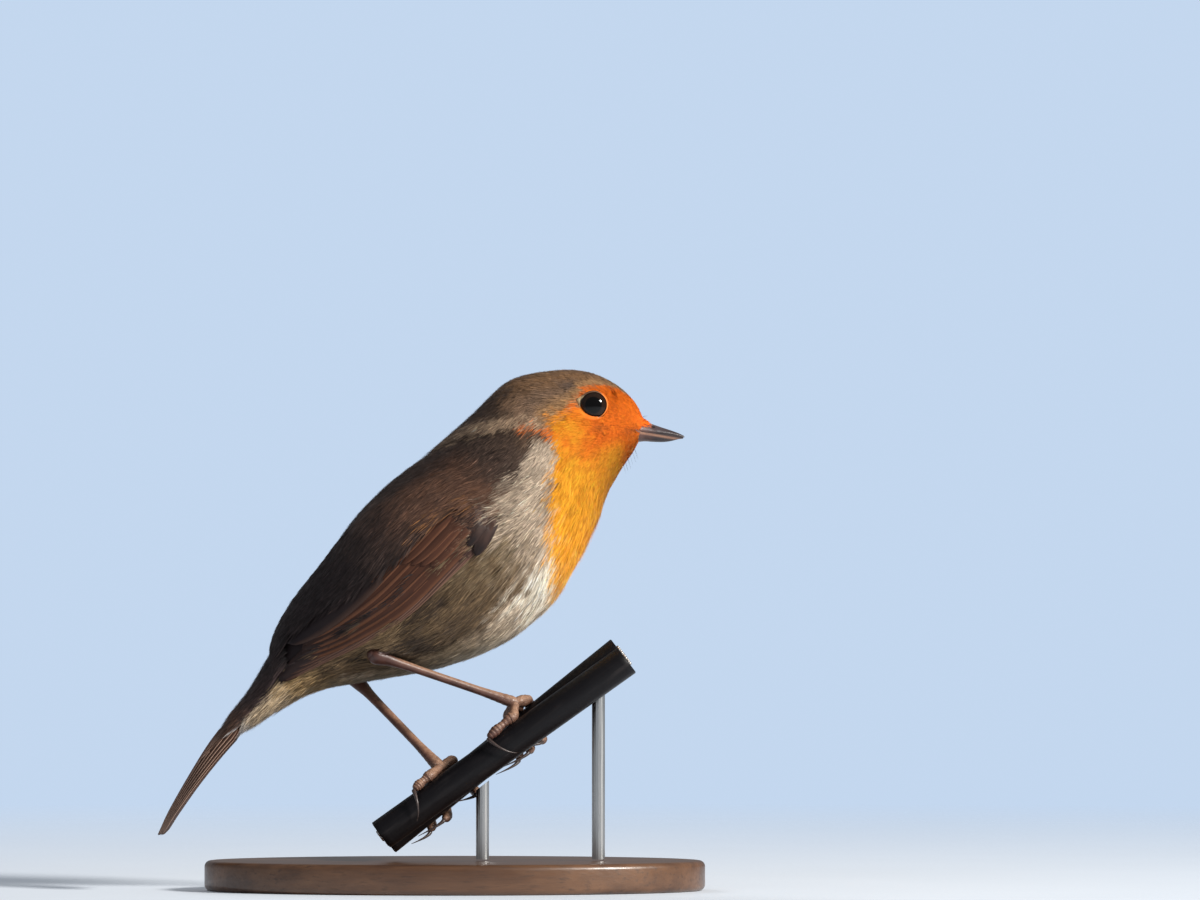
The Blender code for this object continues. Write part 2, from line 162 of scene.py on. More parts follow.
def ripple(points: Array, size: float, seed: int) -> Array:
    """Smooth, seeded unevenness over points.

    Args:
        points: Places in millimetres.
        size: The rough size of one patch, in millimetres.
        seed: Picks the pattern.

    Returns:
        Values of about -1 to 1.
    """
    draw = np.random.default_rng(seed)
    total = np.zeros(len(points))
    for _ in range(7):
        way = draw.normal(size=3)
        way *= (2 * math.pi / size) * draw.uniform(0.6, 1.5) / np.linalg.norm(way)
        total += np.sin(points @ way + draw.uniform(0, 2 * math.pi))
    return total / 3.2


def unit(vectors: Array) -> Array:
    """Vectors at length 1."""
    return vectors / np.maximum(np.linalg.norm(vectors, axis=-1, keepdims=True), 1e-12)


def enlist(obj: bpy.types.Object, replaced: Sequence[str] = ()) -> bpy.types.Object:
    """Puts a finished piece on the model's body and reports it.

    Args:
        obj: The piece, in place.
        replaced: The CAD nodes that it stands for.

    Returns:
        The same piece.
    """
    if not obj.users_collection:
        bpy.context.scene.collection.objects.link(obj)
    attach(obj, BODY)
    if replaced:
        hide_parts(*replaced)
    LOG.info("%s: %d faces", obj.name, len(obj.data.polygons))
    return obj


def object_from(bm: Mesh, name: str, material: Material) -> bpy.types.Object:
    """Makes a smooth-shaded object.

    Args:
        bm: Its mesh in millimetres, which is freed.
        name: Its name.
        material: Its material.

    Returns:
        The object, in metres.
    """
    bmesh.ops.scale(bm, vec=(MM, MM, MM), verts=bm.verts)
    mesh = bpy.data.meshes.new(name)
    bm.to_mesh(mesh)
    bm.free()
    mesh.materials.append(material)
    mesh.shade_smooth()
    return bpy.data.objects.new(name, mesh)


def bent_grid(bm: Mesh, across: int, along: int, shape: Shape) -> tuple[Verts, Array, Array]:
    """Adds a grid to a mesh and bends it to a surface.

    Args:
        bm: The mesh.
        across: Faces across the grid.
        along: Faces along it.
        shape: Gives places, in millimetres, for shares across and along.

    Returns:
        The new vertices, and each one's shares across and along.
    """
    verts = bmesh.ops.create_grid(bm, x_segments=across, y_segments=along, size=1.0)["verts"]
    flat = (np.array([v.co[:2] for v in verts]) + 1) / 2
    for vert, place in zip(verts, shape(flat[:, 0], flat[:, 1])):
        vert.co = place
    return verts, flat[:, 0], flat[:, 1]


def fresh_mesh(painted: bool = False, maps: Sequence[str] = ()) -> Mesh:
    """Starts a mesh.

    Args:
        painted: Whether it carries colours.
        maps: The names of its UV maps.

    Returns:
        The empty mesh.
    """
    bm = bmesh.new()
    if painted:
        bm.verts.layers.float_color.new(MARKINGS)
    for name in maps:
        bm.loops.layers.uv.new(name)
    return bm


def close_up(bm: Mesh, verts: Verts, distance: float) -> None:
    """Joins vertices that lie within a distance, fills the ends and turns all faces outward."""
    bmesh.ops.remove_doubles(bm, verts=verts, dist=distance)
    bmesh.ops.holes_fill(bm, edges=bm.edges, sides=0)
    bmesh.ops.recalc_face_normals(bm, faces=bm.faces)


def paint(bm: Mesh, verts: Verts, colours: Array) -> None:
    """Writes colours to vertices under the markings attribute."""
    layer = bm.verts.layers.float_color[MARKINGS]
    for vert, colour in zip(verts, colours):
        vert[layer] = (*colour, 1.0)


def write_map(bm: Mesh, name: str, verts: Verts, across: Array, along: Array) -> None:
    """Writes a UV map to the faces of some vertices.

    Args:
        bm: The mesh.
        name: The map.
        verts: The vertices.
        across: Their places on the map's first axis.
        along: Their places on its second.
    """
    layer = bm.loops.layers.uv[name]
    for vert, u, v in zip(verts, across, along):
        for loop in vert.link_loops:
            loop[layer].uv = (u, v)


@dataclass(frozen=True)
class Tube:
    """A round piece along a path, with its own thickness at each point."""

    path: Array
    radii: Array
    around: int = 14

    def frames(self) -> tuple[Array, Array]:
        """Finds the way across the path at each point, with as little turning as it can.

        Returns:
            Two unit vectors for each point.
        """
        ways = unit(np.gradient(self.path, axis=0))
        first = np.cross(ways[0], (0.0, 0.0, 1.0))
        if np.linalg.norm(first) < 0.1:
            first = np.cross(ways[0], (0.0, 1.0, 0.0))
        sides = [unit(first)]
        for way in ways[1:]:
            sides.append(unit(sides[-1] - way * float(sides[-1] @ way)))
        sides = np.array(sides)
        return sides, np.cross(ways, sides)

    def add_to(self, bm: Mesh, relief: Shape | None = None) -> None:
        """Adds the tube to a mesh.

        Args:
            bm: The mesh.
            relief: Gives a factor on the radius for shares around and along.
        """
        sides, ups = self.frames()
        count = len(self.path)

        def wrap(around: Array, along: Array) -> Array:
            """The tube's surface."""
            k = np.rint(along * (count - 1)).astype(int)
            turn = 2 * math.pi * around
            radius = self.radii[k]
            if relief is not None:
                radius = radius * relief(around, along)
            ring = sides[k] * np.cos(turn)[:, None] + ups[k] * np.sin(turn)[:, None]
            return self.path[k] + ring * radius[:, None]

        verts, _, _ = bent_grid(bm, self.around, count - 1, wrap)
        bmesh.ops.remove_doubles(bm, verts=verts, dist=1e-4)


def smooth_path(points: Sequence[Sequence[float]], count: int) -> Array:
    """A curve of count points through a few given ones."""
    rows = np.array(points, float)
    return catmull_rom(rows, np.linspace(0, len(rows) - 1, count))


# ---------------------------------------------------------------- the bird's forms


@dataclass(frozen=True)
class Section:
    """One section across the body: its back and belly points as (x, z), and its half width."""

    name: str
    back: tuple[float, float]
    belly: tuple[float, float]
    half_width: float


@dataclass(frozen=True)
class BodyForm:
    """The outer form of head, neck and trunk, as the solids have it.

    A place on it is t, counted in sections from the bill, and an angle above the horizontal on its
    own side. Every form here is of the left half, and a side's sign on Y mirrors it.
    """

    sections: tuple[Section, ...] = (
        Section("bill_base", (37.6, 94.6), (36.9, 89.9), 2.4),
        Section("lores", (35.7, 98.0), (35.5, 87.4), 4.9),
        Section("forehead", (31.9, 101.4), (33.6, 84.6), 8.0),
        Section("crown", (26.2, 103.8), (31.9, 81.8), 10.0),
        Section("hind_crown", (19.4, 104.0), (30.6, 79.4), 11.0),
        Section("nape", (10.6, 101.9), (29.8, 77.2), 12.0),
        Section("neck", (3.2, 95.2), (29.0, 74.4), 14.0),
        Section("shoulder", (-4.8, 88.0), (27.5, 71.0), 16.2),
        Section("chest", (-13.8, 81.0), (24.4, 64.8), 18.0),
        Section("breast", (-21.2, 73.2), (18.8, 56.4), 18.6),
        Section("abdomen", (-27.0, 64.0), (9.6, 49.2), 16.8),
        Section("flank", (-31.4, 57.0), (-3.0, 44.4), 13.6),
        Section("vent", (-34.8, 51.2), (-16.0, 42.0), 10.4),
        Section("rump", (-38.2, 45.5), (-26.6, 40.0), 8.2),
        Section("tail_root", (-41.2, 40.4), (-34.2, 36.4), 6.6),
        Section("coverts_end", (-44.6, 35.2), (-40.8, 32.2), 5.4),
    )
    low_slung: float = 0.06
    keel: float = 0.18
    fold: tuple[tuple[float, float], ...] = (
        (-90, 5.0), (24, 5.28), (42, 5.88), (79, 6.83), (90, 6.95),
    )
    over_bill: tuple[float, float, float, float, float] = (3.6, -2.4, 3.6, 0.3, -1.0)

    @cached_property
    def rows(self) -> Array:
        """The sections as rows of numbers."""
        return np.array([(*s.back, *s.belly, s.half_width) for s in self.sections])

    @property
    def end(self) -> float:
        """The last section's t."""
        return len(self.sections) - 1.0

    def surface(self, t: Array, angle: Array, outward: Array | float = 0.0) -> tuple[Array, Array]:
        """Points on or over the form, and its normals there.

        Args:
            t: Sections from the bill.
            angle: Angles above the horizontal, in radians.
            outward: How far over the form the points are, in millimetres.

        Returns:
            Points and unit normals, in the shape of t with a last axis of 3.
        """
        t, angle, outward = np.broadcast_arrays(t, angle, outward)
        shape = t.shape
        t, angle, outward = t.ravel(), angle.ravel(), outward.ravel()
        row = catmull_rom(self.rows, np.maximum(t, 0.0))
        row = row - np.minimum(t, 0.0)[:, None] * np.array(self.over_bill)
        zero = np.zeros_like(t)
        middle = np.stack(((row[:, 0] + row[:, 2]) / 2, zero, (row[:, 1] + row[:, 3]) / 2), axis=1)
        rise = np.stack(((row[:, 0] - row[:, 2]) / 2, zero, (row[:, 1] - row[:, 3]) / 2), axis=1)
        up, side = np.sin(angle), np.cos(angle)
        full = 1 - self.low_slung * up - self.keel * np.maximum(-up, 0) ** 2
        width = np.maximum(row[:, 4], 0.5) * full
        point = middle + rise * up[:, None]
        point[:, 1] += width * side
        height = np.maximum(np.linalg.norm(rise, axis=1), 0.5)
        normal = rise * (up / height**2)[:, None]
        normal[:, 1] += side / width
        normal = unit(normal)
        point = point + normal * outward[:, None]
        return point.reshape(*shape, 3), normal.reshape(*shape, 3)

    def slopes(self, t: Array, angle: Array) -> tuple[Array, Array]:
        """How far a point moves from a nudge back to a nudge ahead, in t and then in angle."""
        return (
            self.surface(t + NUDGE, angle)[0] - self.surface(t - NUDGE, angle)[0],
            self.surface(t, angle + NUDGE)[0] - self.surface(t, angle - NUDGE)[0],
        )

    def reach(self, t: Array, angle: Array) -> tuple[Array, Array, Array, Array]:
        """How t and angle change for a millimetre along the lie of the coat, and for one across it.

        Args:
            t: Sections from the bill.
            angle: Angles above the horizontal, in radians.

        Returns:
            The changes of t and angle for a millimetre along, then for a millimetre upward across.
        """
        by_t, by_angle = (moved / (2 * NUDGE) for moved in self.slopes(t, angle))
        way = unit(by_t)
        cross = unit(by_angle - way * np.sum(by_angle * way, axis=-1, keepdims=True))
        pairs = ((by_t, by_t), (by_t, by_angle), (by_angle, by_angle))
        e, f, g = (np.sum(p * q, axis=-1) for p, q in pairs)
        det = np.maximum(e * g - f * f, 1e-6)
        answers = []
        for vector in (way, cross):
            p, q = np.sum(vector * by_t, axis=-1), np.sum(vector * by_angle, axis=-1)
            answers += [(g * p - f * q) / det, (e * q - f * p) / det]
        return tuple(answers)

    @cached_property
    def lengths(self) -> tuple[Array, Array]:
        """Places t and the length along the body's middle up to each."""
        t = np.linspace(0, self.end, 301)
        row = catmull_rom(self.rows, t)
        middle = np.stack(((row[:, 0] + row[:, 2]) / 2, (row[:, 1] + row[:, 3]) / 2), axis=1)
        steps = np.linalg.norm(np.diff(middle, axis=0), axis=1)
        return t, np.concatenate(([0.0], np.cumsum(steps))) / steps.sum()

    def unwrap(self, t: Array, angle: Array, side: Array | float) -> tuple[Array, Array]:
        """A place on the flat unwrap of the skin: length along the body, and the way round it."""
        half = 0.01 + 0.98 * (np.degrees(angle) + 90) / 360
        return self.length_share(t), np.where(np.asarray(side) > 0, half, 1 - half)

    def length_share(self, t: Array) -> Array:
        """A section's place on the unwrap, along the body."""
        return 0.02 + 0.96 * np.interp(t, *self.lengths)


@dataclass(frozen=True)
class WingForm:
    """The folded wing, as a shell over the trunk."""

    body: BodyForm
    start: float = 7.2
    end: float = 13.4
    lower_edge: tuple[float, ...] = (20, -4, 3, 8, 9, 5, 0)
    upper_edge: tuple[float, ...] = (40, 56, 66, 74, 80, 74, 12)
    gap: float = 0.3
    thickness: float = 2.2
    edge_thickness: float = 0.6
    front: float = 0.08
    fullest: float = 0.7

    def edge(self, degrees: tuple[float, ...], t: Array) -> Array:
        """An edge's angle in degrees at t."""
        share = np.clip((t - self.start) / (self.end - self.start), 0, 1)
        return catmull_rom(np.array(degrees, float)[:, None], share * (len(degrees) - 1))[:, 0]

    def height(self, t: Array, degrees: Array) -> Array:
        """How far the wing's face stands over the trunk; it falls softly to 0 round its edges.

        Args:
            t: Sections from the bill.
            degrees: Angles above the horizontal.

        Returns:
            Heights in millimetres, in the shape of t.
        """
        shape = t.shape
        t, degrees = t.ravel(), degrees.ravel()
        low, high = self.edge(self.lower_edge, t), self.edge(self.upper_edge, t)
        f = np.clip((t - self.start) / (self.end - self.start), 0, 1)
        v = np.clip((degrees - low) / np.maximum(high - low, 1.0), 0, 1)
        along = (self.front + (1 - self.front) * f) ** self.fullest
        swell = (self.thickness - self.edge_thickness) * np.sqrt(np.maximum(np.sin(math.pi * along), 0))
        over = self.gap + self.edge_thickness + swell * np.sqrt(np.maximum(np.sin(math.pi * v), 0))
        inside = step_up(self.start - 0.35, self.start + 0.25, t) * step_up(self.end + 0.4, self.end, t)
        inside *= step_up(-7, 1.5, degrees - low) * step_up(16, 0, degrees - high)
        return (over * inside).reshape(shape)


@dataclass(frozen=True)
class TailForm:
    """The closed tail: its crest, half width, roof and thickness at each station."""

    stations: tuple[tuple[float, float, float, float, float], ...] = (
        (-45.2, 34.6, 5.6, 2.4, 1.9),
        (-49.2, 29.4, 6.4, 2.2, 1.6),
        (-53.4, 22.6, 7.2, 1.6, 1.2),
        (-57.0, 16.2, 7.8, 1.1, 0.9),
        (-58.7, 12.6, 6.6, 0.8, 0.7),
        (-59.4, 11.0, 3.0, 0.5, 0.6),
    )
    roof_power: float = 1.5

    def surface(self, s: Array, v: Array, depth: Array) -> Array:
        """Points in the tail.

        Args:
            s: Stations from the root.
            v: Shares of the half width, with a sign for the side.
            depth: Shares of the thickness, down from the top.

        Returns:
            Places in millimetres.
        """
        rows = np.array(self.stations)
        row = catmull_rom(rows, s)
        last = len(rows) - 1.0
        near = np.clip(s, 0, last)
        ahead = catmull_rom(rows, np.maximum(near - 0.2, 0))[:, :2]
        behind = catmull_rom(rows, np.minimum(near + 0.2, last))[:, :2]
        way = unit(behind - ahead)
        up = np.stack((way[:, 1], -way[:, 0]), axis=1)
        up *= np.where(up[:, 1:] > 0, 1.0, -1.0)
        drop = row[:, 3] * np.abs(v) ** self.roof_power + row[:, 4] * depth
        flat = row[:, :2] - up * drop[:, None]
        return np.stack((flat[:, 0], v * row[:, 2], flat[:, 1]), axis=1)


# ---------------------------------------------------------------- materials


class Shader:
    """A material or node group in the making, with short words for its nodes and links."""

    def __init__(self, name: str, group: bool = False) -> None:
        """Starts it empty.

        Args:
            name: Its name.
            group: Whether it is a node group.
        """
        if group:
            self.tree = bpy.data.node_groups.new(name, "ShaderNodeTree")
            self.material = None
        else:
            self.material = bpy.data.materials.new(name)
            self.material.use_nodes = True
            self.tree = self.material.node_tree
            self.tree.nodes.clear()

    def node(self, kind: str, settings: dict | None = None, **inputs: object) -> bpy.types.Node:
        """Adds a node.

        Args:
            kind: The node's type, without its first word.
            settings: Values for the node's own properties.
            **inputs: Values or sockets for its inputs, with _ for a space in a name.

        Returns:
            The node.
        """
        made = self.tree.nodes.new("ShaderNode" + kind)
        for key, value in (settings or {}).items():
            setattr(made, key, value)
        for key, value in inputs.items():
            self.feed(made, key.replace("_", " "), value)
        return made

    def feed(self, node: bpy.types.Node, name: str, value: object) -> None:
        """Sets or links the input of that name, or of that number."""
        numbered = name.startswith("in") and name[2:].isdigit()
        socket = node.inputs[int(name[2:]) if numbered else name]
        if isinstance(value, Socket):
            self.tree.links.new(value, socket)
        elif socket.type == "RGBA":
            socket.default_value = (*value, 1.0)
        else:
            socket.default_value = value

    def math(self, operation: str, *values: object) -> Socket:
        """The result of a Math node."""
        made = self.node("Math", {"operation": operation})
        for number, value in enumerate(values):
            self.feed(made, f"in{number}", value)
        return made.outputs[0]

    def mix(self, factor: object, first: object, second: object, mode: str = "MIX") -> Socket:
        """Two colours mixed."""
        made = self.node("Mix", {"data_type": "RGBA", "blend_type": mode})
        for name, value in (("in0", factor), ("in6", first), ("in7", second)):
            self.feed(made, name, value)
        return made.outputs[2]

    def noise(self, vector: Socket, scale: float, detail: float = 3.0, rough: float = 0.55) -> Socket:
        """A noise texture's value."""
        made = self.node("TexNoise", Vector=vector, Scale=scale, Detail=detail, Roughness=rough)
        return made.outputs[0]

    def spread(self, value: object, low: float, high: float, to_low: float, to_high: float) -> Socket:
        """A value moved from one range to another, and held inside it."""
        made = self.node("MapRange", {"clamp": True})
        for number, item in enumerate((value, low, high, to_low, to_high)):
            self.feed(made, f"in{number}", item)
        return made.outputs[0]

    def group(self, tree: bpy.types.NodeTree, **inputs: object) -> bpy.types.Node:
        """Places a shared group."""
        made = self.tree.nodes.new("ShaderNodeGroup")
        made.node_tree = tree
        for key, value in inputs.items():
            self.feed(made, key.replace("_", " "), value)
        return made

    def finish(self, **inputs: object) -> Material:
        """Ends a material in one Principled shader with these inputs."""
        shader = self.node("BsdfPrincipled", **inputs)
        out = self.node("OutputMaterial")
        self.tree.links.new(shader.outputs[0], out.inputs[0])
        return self.material

    def bump(self, height: object, distance: float, strength: float = 1.0) -> Socket:
        """A bumped normal; distance is in metres."""
        return self.node("Bump", Height=height, Distance=distance, Strength=strength).outputs[0]

    def place(self) -> Socket:
        """Object coordinates."""
        return self.node("TexCoord").outputs["Object"]

    def carried(self) -> Socket:
        """The colours that the piece carries."""
        return self.node("Attribute", {"attribute_name": MARKINGS}).outputs["Color"]

    def parts(self, vector: Socket) -> Sequence[Socket]:
        """A vector's X, Y and Z."""
        return self.node("SeparateXYZ", Vector=vector).outputs

    def joined(self, x: object, y: object, z: object) -> Socket:
        """A vector of X, Y and Z."""
        return self.node("CombineXYZ", X=x, Y=y, Z=z).outputs[0]

    def length(self, vector: Socket) -> Socket:
        """A vector's length."""
        return self.node("VectorMath", {"operation": "LENGTH"}, Vector=vector).outputs["Value"]

    def turned(self, vector: Socket, about_y: float) -> Socket:
        """A vector turned about Y, by an angle in radians."""
        return self.node("Mapping", Vector=vector, Rotation=(0.0, about_y, 0.0)).outputs[0]

    def mottled(self, colour: object, vector: Socket, scale: float, amount: float) -> Sequence[Socket]:
        """A colour made uneven, and a height to match."""
        given = {"Color": colour, "Vector": vector, "Scale": scale, "Amount": amount}
        return self.group(SharedEffects.mottle(), **given).outputs

    def grain(self, vector: Socket, fineness: float, stretch: float) -> Socket:
        """Streaks along X."""
        given = {"Vector": vector, "Fineness": fineness, "Stretch": stretch}
        return self.group(SharedEffects.long_grain(), **given).outputs[0]


class SharedEffects:
    """Node groups that several finishes use, each built once."""

    _made: dict[str, bpy.types.NodeTree] = {}

    @staticmethod
    def sheet(name: str, given: dict[str, str], result: dict[str, str]) -> Shader:
        """Starts a group.

        Args:
            name: Its name.
            given: Its inputs' names and kinds.
            result: Its outputs' names and kinds.

        Returns:
            The group in the making.
        """
        made = Shader(name, group=True)
        for way, sockets in (("INPUT", given), ("OUTPUT", result)):
            for word, kind in sockets.items():
                made.tree.interface.new_socket(word, in_out=way, socket_type="NodeSocket" + kind)
        return made

    @classmethod
    def mottle(cls) -> bpy.types.NodeTree:
        """Uneven colour with a height to match.

        Returns:
            The group.
        """
        if "mottle" not in cls._made:
            inputs = {"Color": "Color", "Vector": "Vector", "Scale": "Float", "Amount": "Float"}
            sheet = cls.sheet("mottle", inputs, {"Color": "Color", "Height": "Float"})
            given = sheet.tree.nodes.new("NodeGroupInput").outputs
            result = sheet.tree.nodes.new("NodeGroupOutput")
            cloud = sheet.noise(given[1], given[2], 4.0, 0.6)
            centred = sheet.math("MULTIPLY", sheet.math("SUBTRACT", cloud, 0.5), given[3])
            bright = sheet.math("ADD", 1.0, sheet.math("MULTIPLY", centred, 4.0))
            tinted = sheet.node("VectorMath", {"operation": "SCALE"}, in0=given[0], Scale=bright)
            sheet.feed(result, "in0", tinted.outputs[0])
            sheet.feed(result, "in1", cloud)
            cls._made["mottle"] = sheet.tree
        return cls._made["mottle"]

    @classmethod
    def long_grain(cls) -> bpy.types.NodeTree:
        """Streaks along X, as in wood, drawn steel and worn cable.

        Returns:
            The group.
        """
        if "long_grain" not in cls._made:
            inputs = {"Vector": "Vector", "Fineness": "Float", "Stretch": "Float"}
            sheet = cls.sheet("long_grain", inputs, {"Streak": "Float"})
            given = sheet.tree.nodes.new("NodeGroupInput").outputs
            result = sheet.tree.nodes.new("NodeGroupOutput")
            x, y, z = sheet.parts(given[0])
            moved = sheet.joined(sheet.math("DIVIDE", x, given[2]), y, z)
            sheet.feed(result, "in0", sheet.noise(moved, given[1], 5.0, 0.6))
            cls._made["long_grain"] = sheet.tree
        return cls._made["long_grain"]


@dataclass(frozen=True)
class PlumageFinish:
    """Soft feathers, in the colours that the piece carries."""

    name: str
    roughness: float = 0.62
    sheen: float = 0.04
    unevenness: float = 0.10
    bump_mm: float = 0.0

    def material(self) -> Material:
        """Builds the material.

        Returns:
            The material.
        """
        s = Shader(self.name)
        colour, height = s.mottled(s.carried(), s.place(), 900.0, self.unevenness)
        rough = s.spread(height, 0.3, 0.7, self.roughness + 0.08, self.roughness - 0.08)
        more = {"Normal": s.bump(height, self.bump_mm * MM)} if self.bump_mm else {}
        return s.finish(
            Base_Color=colour, Roughness=rough, Specular_IOR_Level=0.28,
            Sheen_Weight=self.sheen, Sheen_Roughness=0.45, **more,
        )


@dataclass(frozen=True)
class VaneFinish:
    """Flight feathers: fine slanting barbs, a low sheen, in the colours that the vanes carry."""

    name: str = "flight_feather_vane"
    barb_spacing_mm: float = 0.30
    slant: float = 1.1
    roughness: float = 0.52
    groove: Colour = (0.010, 0.006, 0.005)

    def material(self) -> Material:
        """Builds the material.

        Returns:
            The material.
        """
        s = Shader(self.name)
        carried = s.carried()
        across, along, _ = s.parts(s.node("UVMap", {"uv_map": VANE_MAP}).outputs[0])
        off_shaft = s.math("MULTIPLY", s.math("ABSOLUTE", across), self.slant)
        slanted = s.math("SUBTRACT", along, off_shaft)
        waver = s.math("MULTIPLY", s.noise(s.place(), 420.0), 0.35)
        phase = s.math("MULTIPLY", s.math("ADD", slanted, waver), 2 * math.pi / self.barb_spacing_mm)
        barb = s.math("ADD", s.math("MULTIPLY", s.math("SINE", phase), 0.5), 0.5)
        colour, _ = s.mottled(carried, s.place(), 260.0, 0.12)
        lined = s.mix(s.spread(barb, 0.0, 1.0, 0.09, 0.0), colour, self.groove)
        return s.finish(
            Base_Color=lined, Roughness=s.spread(barb, 0.0, 1.0, self.roughness + 0.12, self.roughness),
            Specular_IOR_Level=0.22, Normal=s.bump(barb, 0.01 * MM),
        )


@dataclass(frozen=True)
class BillFinish:
    """Dark horn, paler and pinker at the base and along the edges that meet."""

    dark: Colour = (0.030, 0.021, 0.022)
    top: Colour = (0.085, 0.060, 0.062)
    base: Colour = (0.23, 0.10, 0.07)
    gape: Colour = (0.42, 0.22, 0.14)
    hole: Colour = (0.012, 0.008, 0.007)
    nostril: Vector = Vector((39.6, 0.0, 92.55))
    tip_x: float = 46.0
    tip_z: float = 89.95
    edge_rise: float = 0.16

    def material(self) -> Material:
        """Builds the material.

        Returns:
            The material.
        """
        s = Shader("bill_horn")
        place = s.place()
        x, _, z = s.parts(place)
        grain = s.noise(place, 700.0)
        horn = s.mix(s.spread(z, 91.2 * MM, 93.0 * MM, 0.0, 1.0), self.dark, self.top)
        wavy = s.math("ADD", x, s.math("MULTIPLY", grain, 2.2 * MM))
        horn = s.mix(s.spread(wavy, 41.4 * MM, 38.6 * MM, 0.0, 0.5), horn, self.base)
        rise = s.math("MULTIPLY", s.math("SUBTRACT", self.tip_x * MM, x), self.edge_rise)
        away = s.math("ABSOLUTE", s.math("SUBTRACT", z, s.math("ADD", self.tip_z * MM, rise)))
        horn = s.mix(s.spread(away, 0.05 * MM, 0.38 * MM, 0.72, 0.0), horn, self.gape)
        streaks = s.grain(place, 2400.0, 6.0)
        horn = s.mix(s.spread(streaks, 0.42, 0.7, 0.0, 0.35), horn, self.top)
        apart = {"in0": place, "in1": self.nostril * MM}
        off_x, _, off_z = s.parts(s.node("VectorMath", {"operation": "SUBTRACT"}, **apart).outputs[0])
        off = s.length(s.joined(s.math("MULTIPLY", off_x, 0.5), 0.0, off_z))
        horn = s.mix(s.spread(off, 0.16 * MM, 0.3 * MM, 0.9, 0.0), horn, self.hole)
        return s.finish(
            Base_Color=horn, Roughness=s.spread(grain, 0.3, 0.7, 0.26, 0.42), Specular_IOR_Level=0.5,
            Normal=s.bump(streaks, 0.05 * MM),
        )


@dataclass(frozen=True)
class ClawFinish:
    """Dark curved claws, a little paler at the root."""

    colour: Colour = (0.055, 0.038, 0.034)

    def material(self) -> Material:
        """Builds the material.

        Returns:
            The material.
        """
        s = Shader("claw_horn")
        colour, height = s.mottled(self.colour, s.place(), 1400.0, 0.3)
        rough = s.spread(height, 0.3, 0.7, 0.25, 0.45)
        return s.finish(Base_Color=colour, Roughness=rough, Normal=s.bump(height, 0.04 * MM))


@dataclass(frozen=True)
class EyeFinish:
    """A polished, almost black eye with a very dark brown iris."""

    centre: Vector
    pupil: Colour = (0.0015, 0.001, 0.001)
    iris: Colour = (0.020, 0.009, 0.005)
    fibre: Colour = (0.008, 0.004, 0.003)

    def material(self) -> Material:
        """Builds the material.

        Returns:
            The material.
        """
        s = Shader("eye_dark")
        place = s.place()
        x, _, z = s.parts(place)
        x = s.math("SUBTRACT", x, self.centre.x * MM)
        z = s.math("SUBTRACT", z, self.centre.z * MM)
        off = s.length(s.joined(x, 0.0, z))
        ring = s.mix(s.spread(s.noise(place, 2600.0), 0.35, 0.65, 0.0, 0.5), self.iris, self.fibre)
        colour = s.mix(s.spread(off, 1.55 * MM, 1.75 * MM, 1.0, 0.0), ring, self.pupil)
        return s.finish(Base_Color=colour, Roughness=0.07, Specular_IOR_Level=0.30)


@dataclass(frozen=True)
class LidFinish:
    """The bare rim round the eye, in its own carried colours, finely wrinkled."""

    def material(self) -> Material:
        """Builds the material."""
        s = Shader("eye_rim")
        colour, height = s.mottled(s.carried(), s.place(), 2200.0, 0.28)
        return s.finish(Base_Color=colour, Roughness=0.55, Normal=s.bump(height, 0.08 * MM))


@dataclass(frozen=True)
class LegFinish:
    """Reddish-brown leg scales with a low sheen and a painted highlight."""

    colour: Colour = (0.115, 0.048, 0.033)
    # pale: the colour of the painted highlight
    pale: Colour = (0.42, 0.24, 0.15)
    dark: Colour = (0.030, 0.013, 0.011)
    joint: Colour = (0.060, 0.020, 0.013)

    def material(self) -> Material:
        """Builds the material; the piece carries painted highlight, joints and scales as red, green and blue.

        Returns:
            The material.
        """
        s = Shader("leg_scale")
        place = s.place()
        cloud = s.noise(place, 380.0, 4.0)
        fine = s.noise(place, 1500.0, 4.0)
        colour = s.mix(s.spread(cloud, 0.35, 0.7, 0.0, 0.75), self.colour, self.dark)
        light, joint, scaly = s.node("SeparateColor", Color=s.carried()).outputs
        colour = s.mix(s.math("MULTIPLY", light, s.spread(fine, 0.3, 0.6, 0.45, 1.0)), colour, self.pale)
        colour = s.mix(joint, colour, self.joint)
        cells = s.node("TexVoronoi", {"feature": "DISTANCE_TO_EDGE"}, Vector=place, Scale=1900.0)
        edge = s.spread(cells.outputs[0], 0.0, 0.10, 0.0, 1.0)
        gaps = s.math("MULTIPLY", s.spread(edge, 0.0, 1.0, 0.35, 0.0), scaly)
        colour = s.mix(gaps, colour, self.dark)
        relief = s.math("MULTIPLY", s.math("MULTIPLY", edge, 0.6), scaly)
        height = s.math("ADD", relief, s.math("MULTIPLY", fine, 0.5))
        return s.finish(
            Base_Color=colour, Roughness=s.spread(fine, 0.3, 0.7, 0.34, 0.52), Specular_IOR_Level=0.5,
            Normal=s.bump(height, 0.07 * MM),
        )


@dataclass(frozen=True)
class CableFinish:
    """Weathered black insulation with faint lengthwise marks and dust."""

    colour: Colour = (0.0045, 0.0038, 0.0048)
    worn: Colour = (0.022, 0.018, 0.018)
    slope: float = 37.2

    def material(self) -> Material:
        """Builds the material.

        Returns:
            The material.
        """
        s = Shader("cable_insulation")
        place = s.place()
        streak = s.grain(s.turned(place, math.radians(self.slope)), 900.0, 14.0)
        dust = s.noise(place, 160.0, 5.0, 0.65)
        marks = s.spread(streak, 0.52, 0.68, 0.0, 0.7)
        worn = s.math("MULTIPLY", marks, s.spread(dust, 0.4, 0.65, 0.15, 1.0))
        return s.finish(
            Base_Color=s.mix(worn, self.colour, self.worn), Roughness=s.spread(dust, 0.3, 0.7, 0.34, 0.52),
            Specular_IOR_Level=0.22, Normal=s.bump(streak, 0.06 * MM),
        )


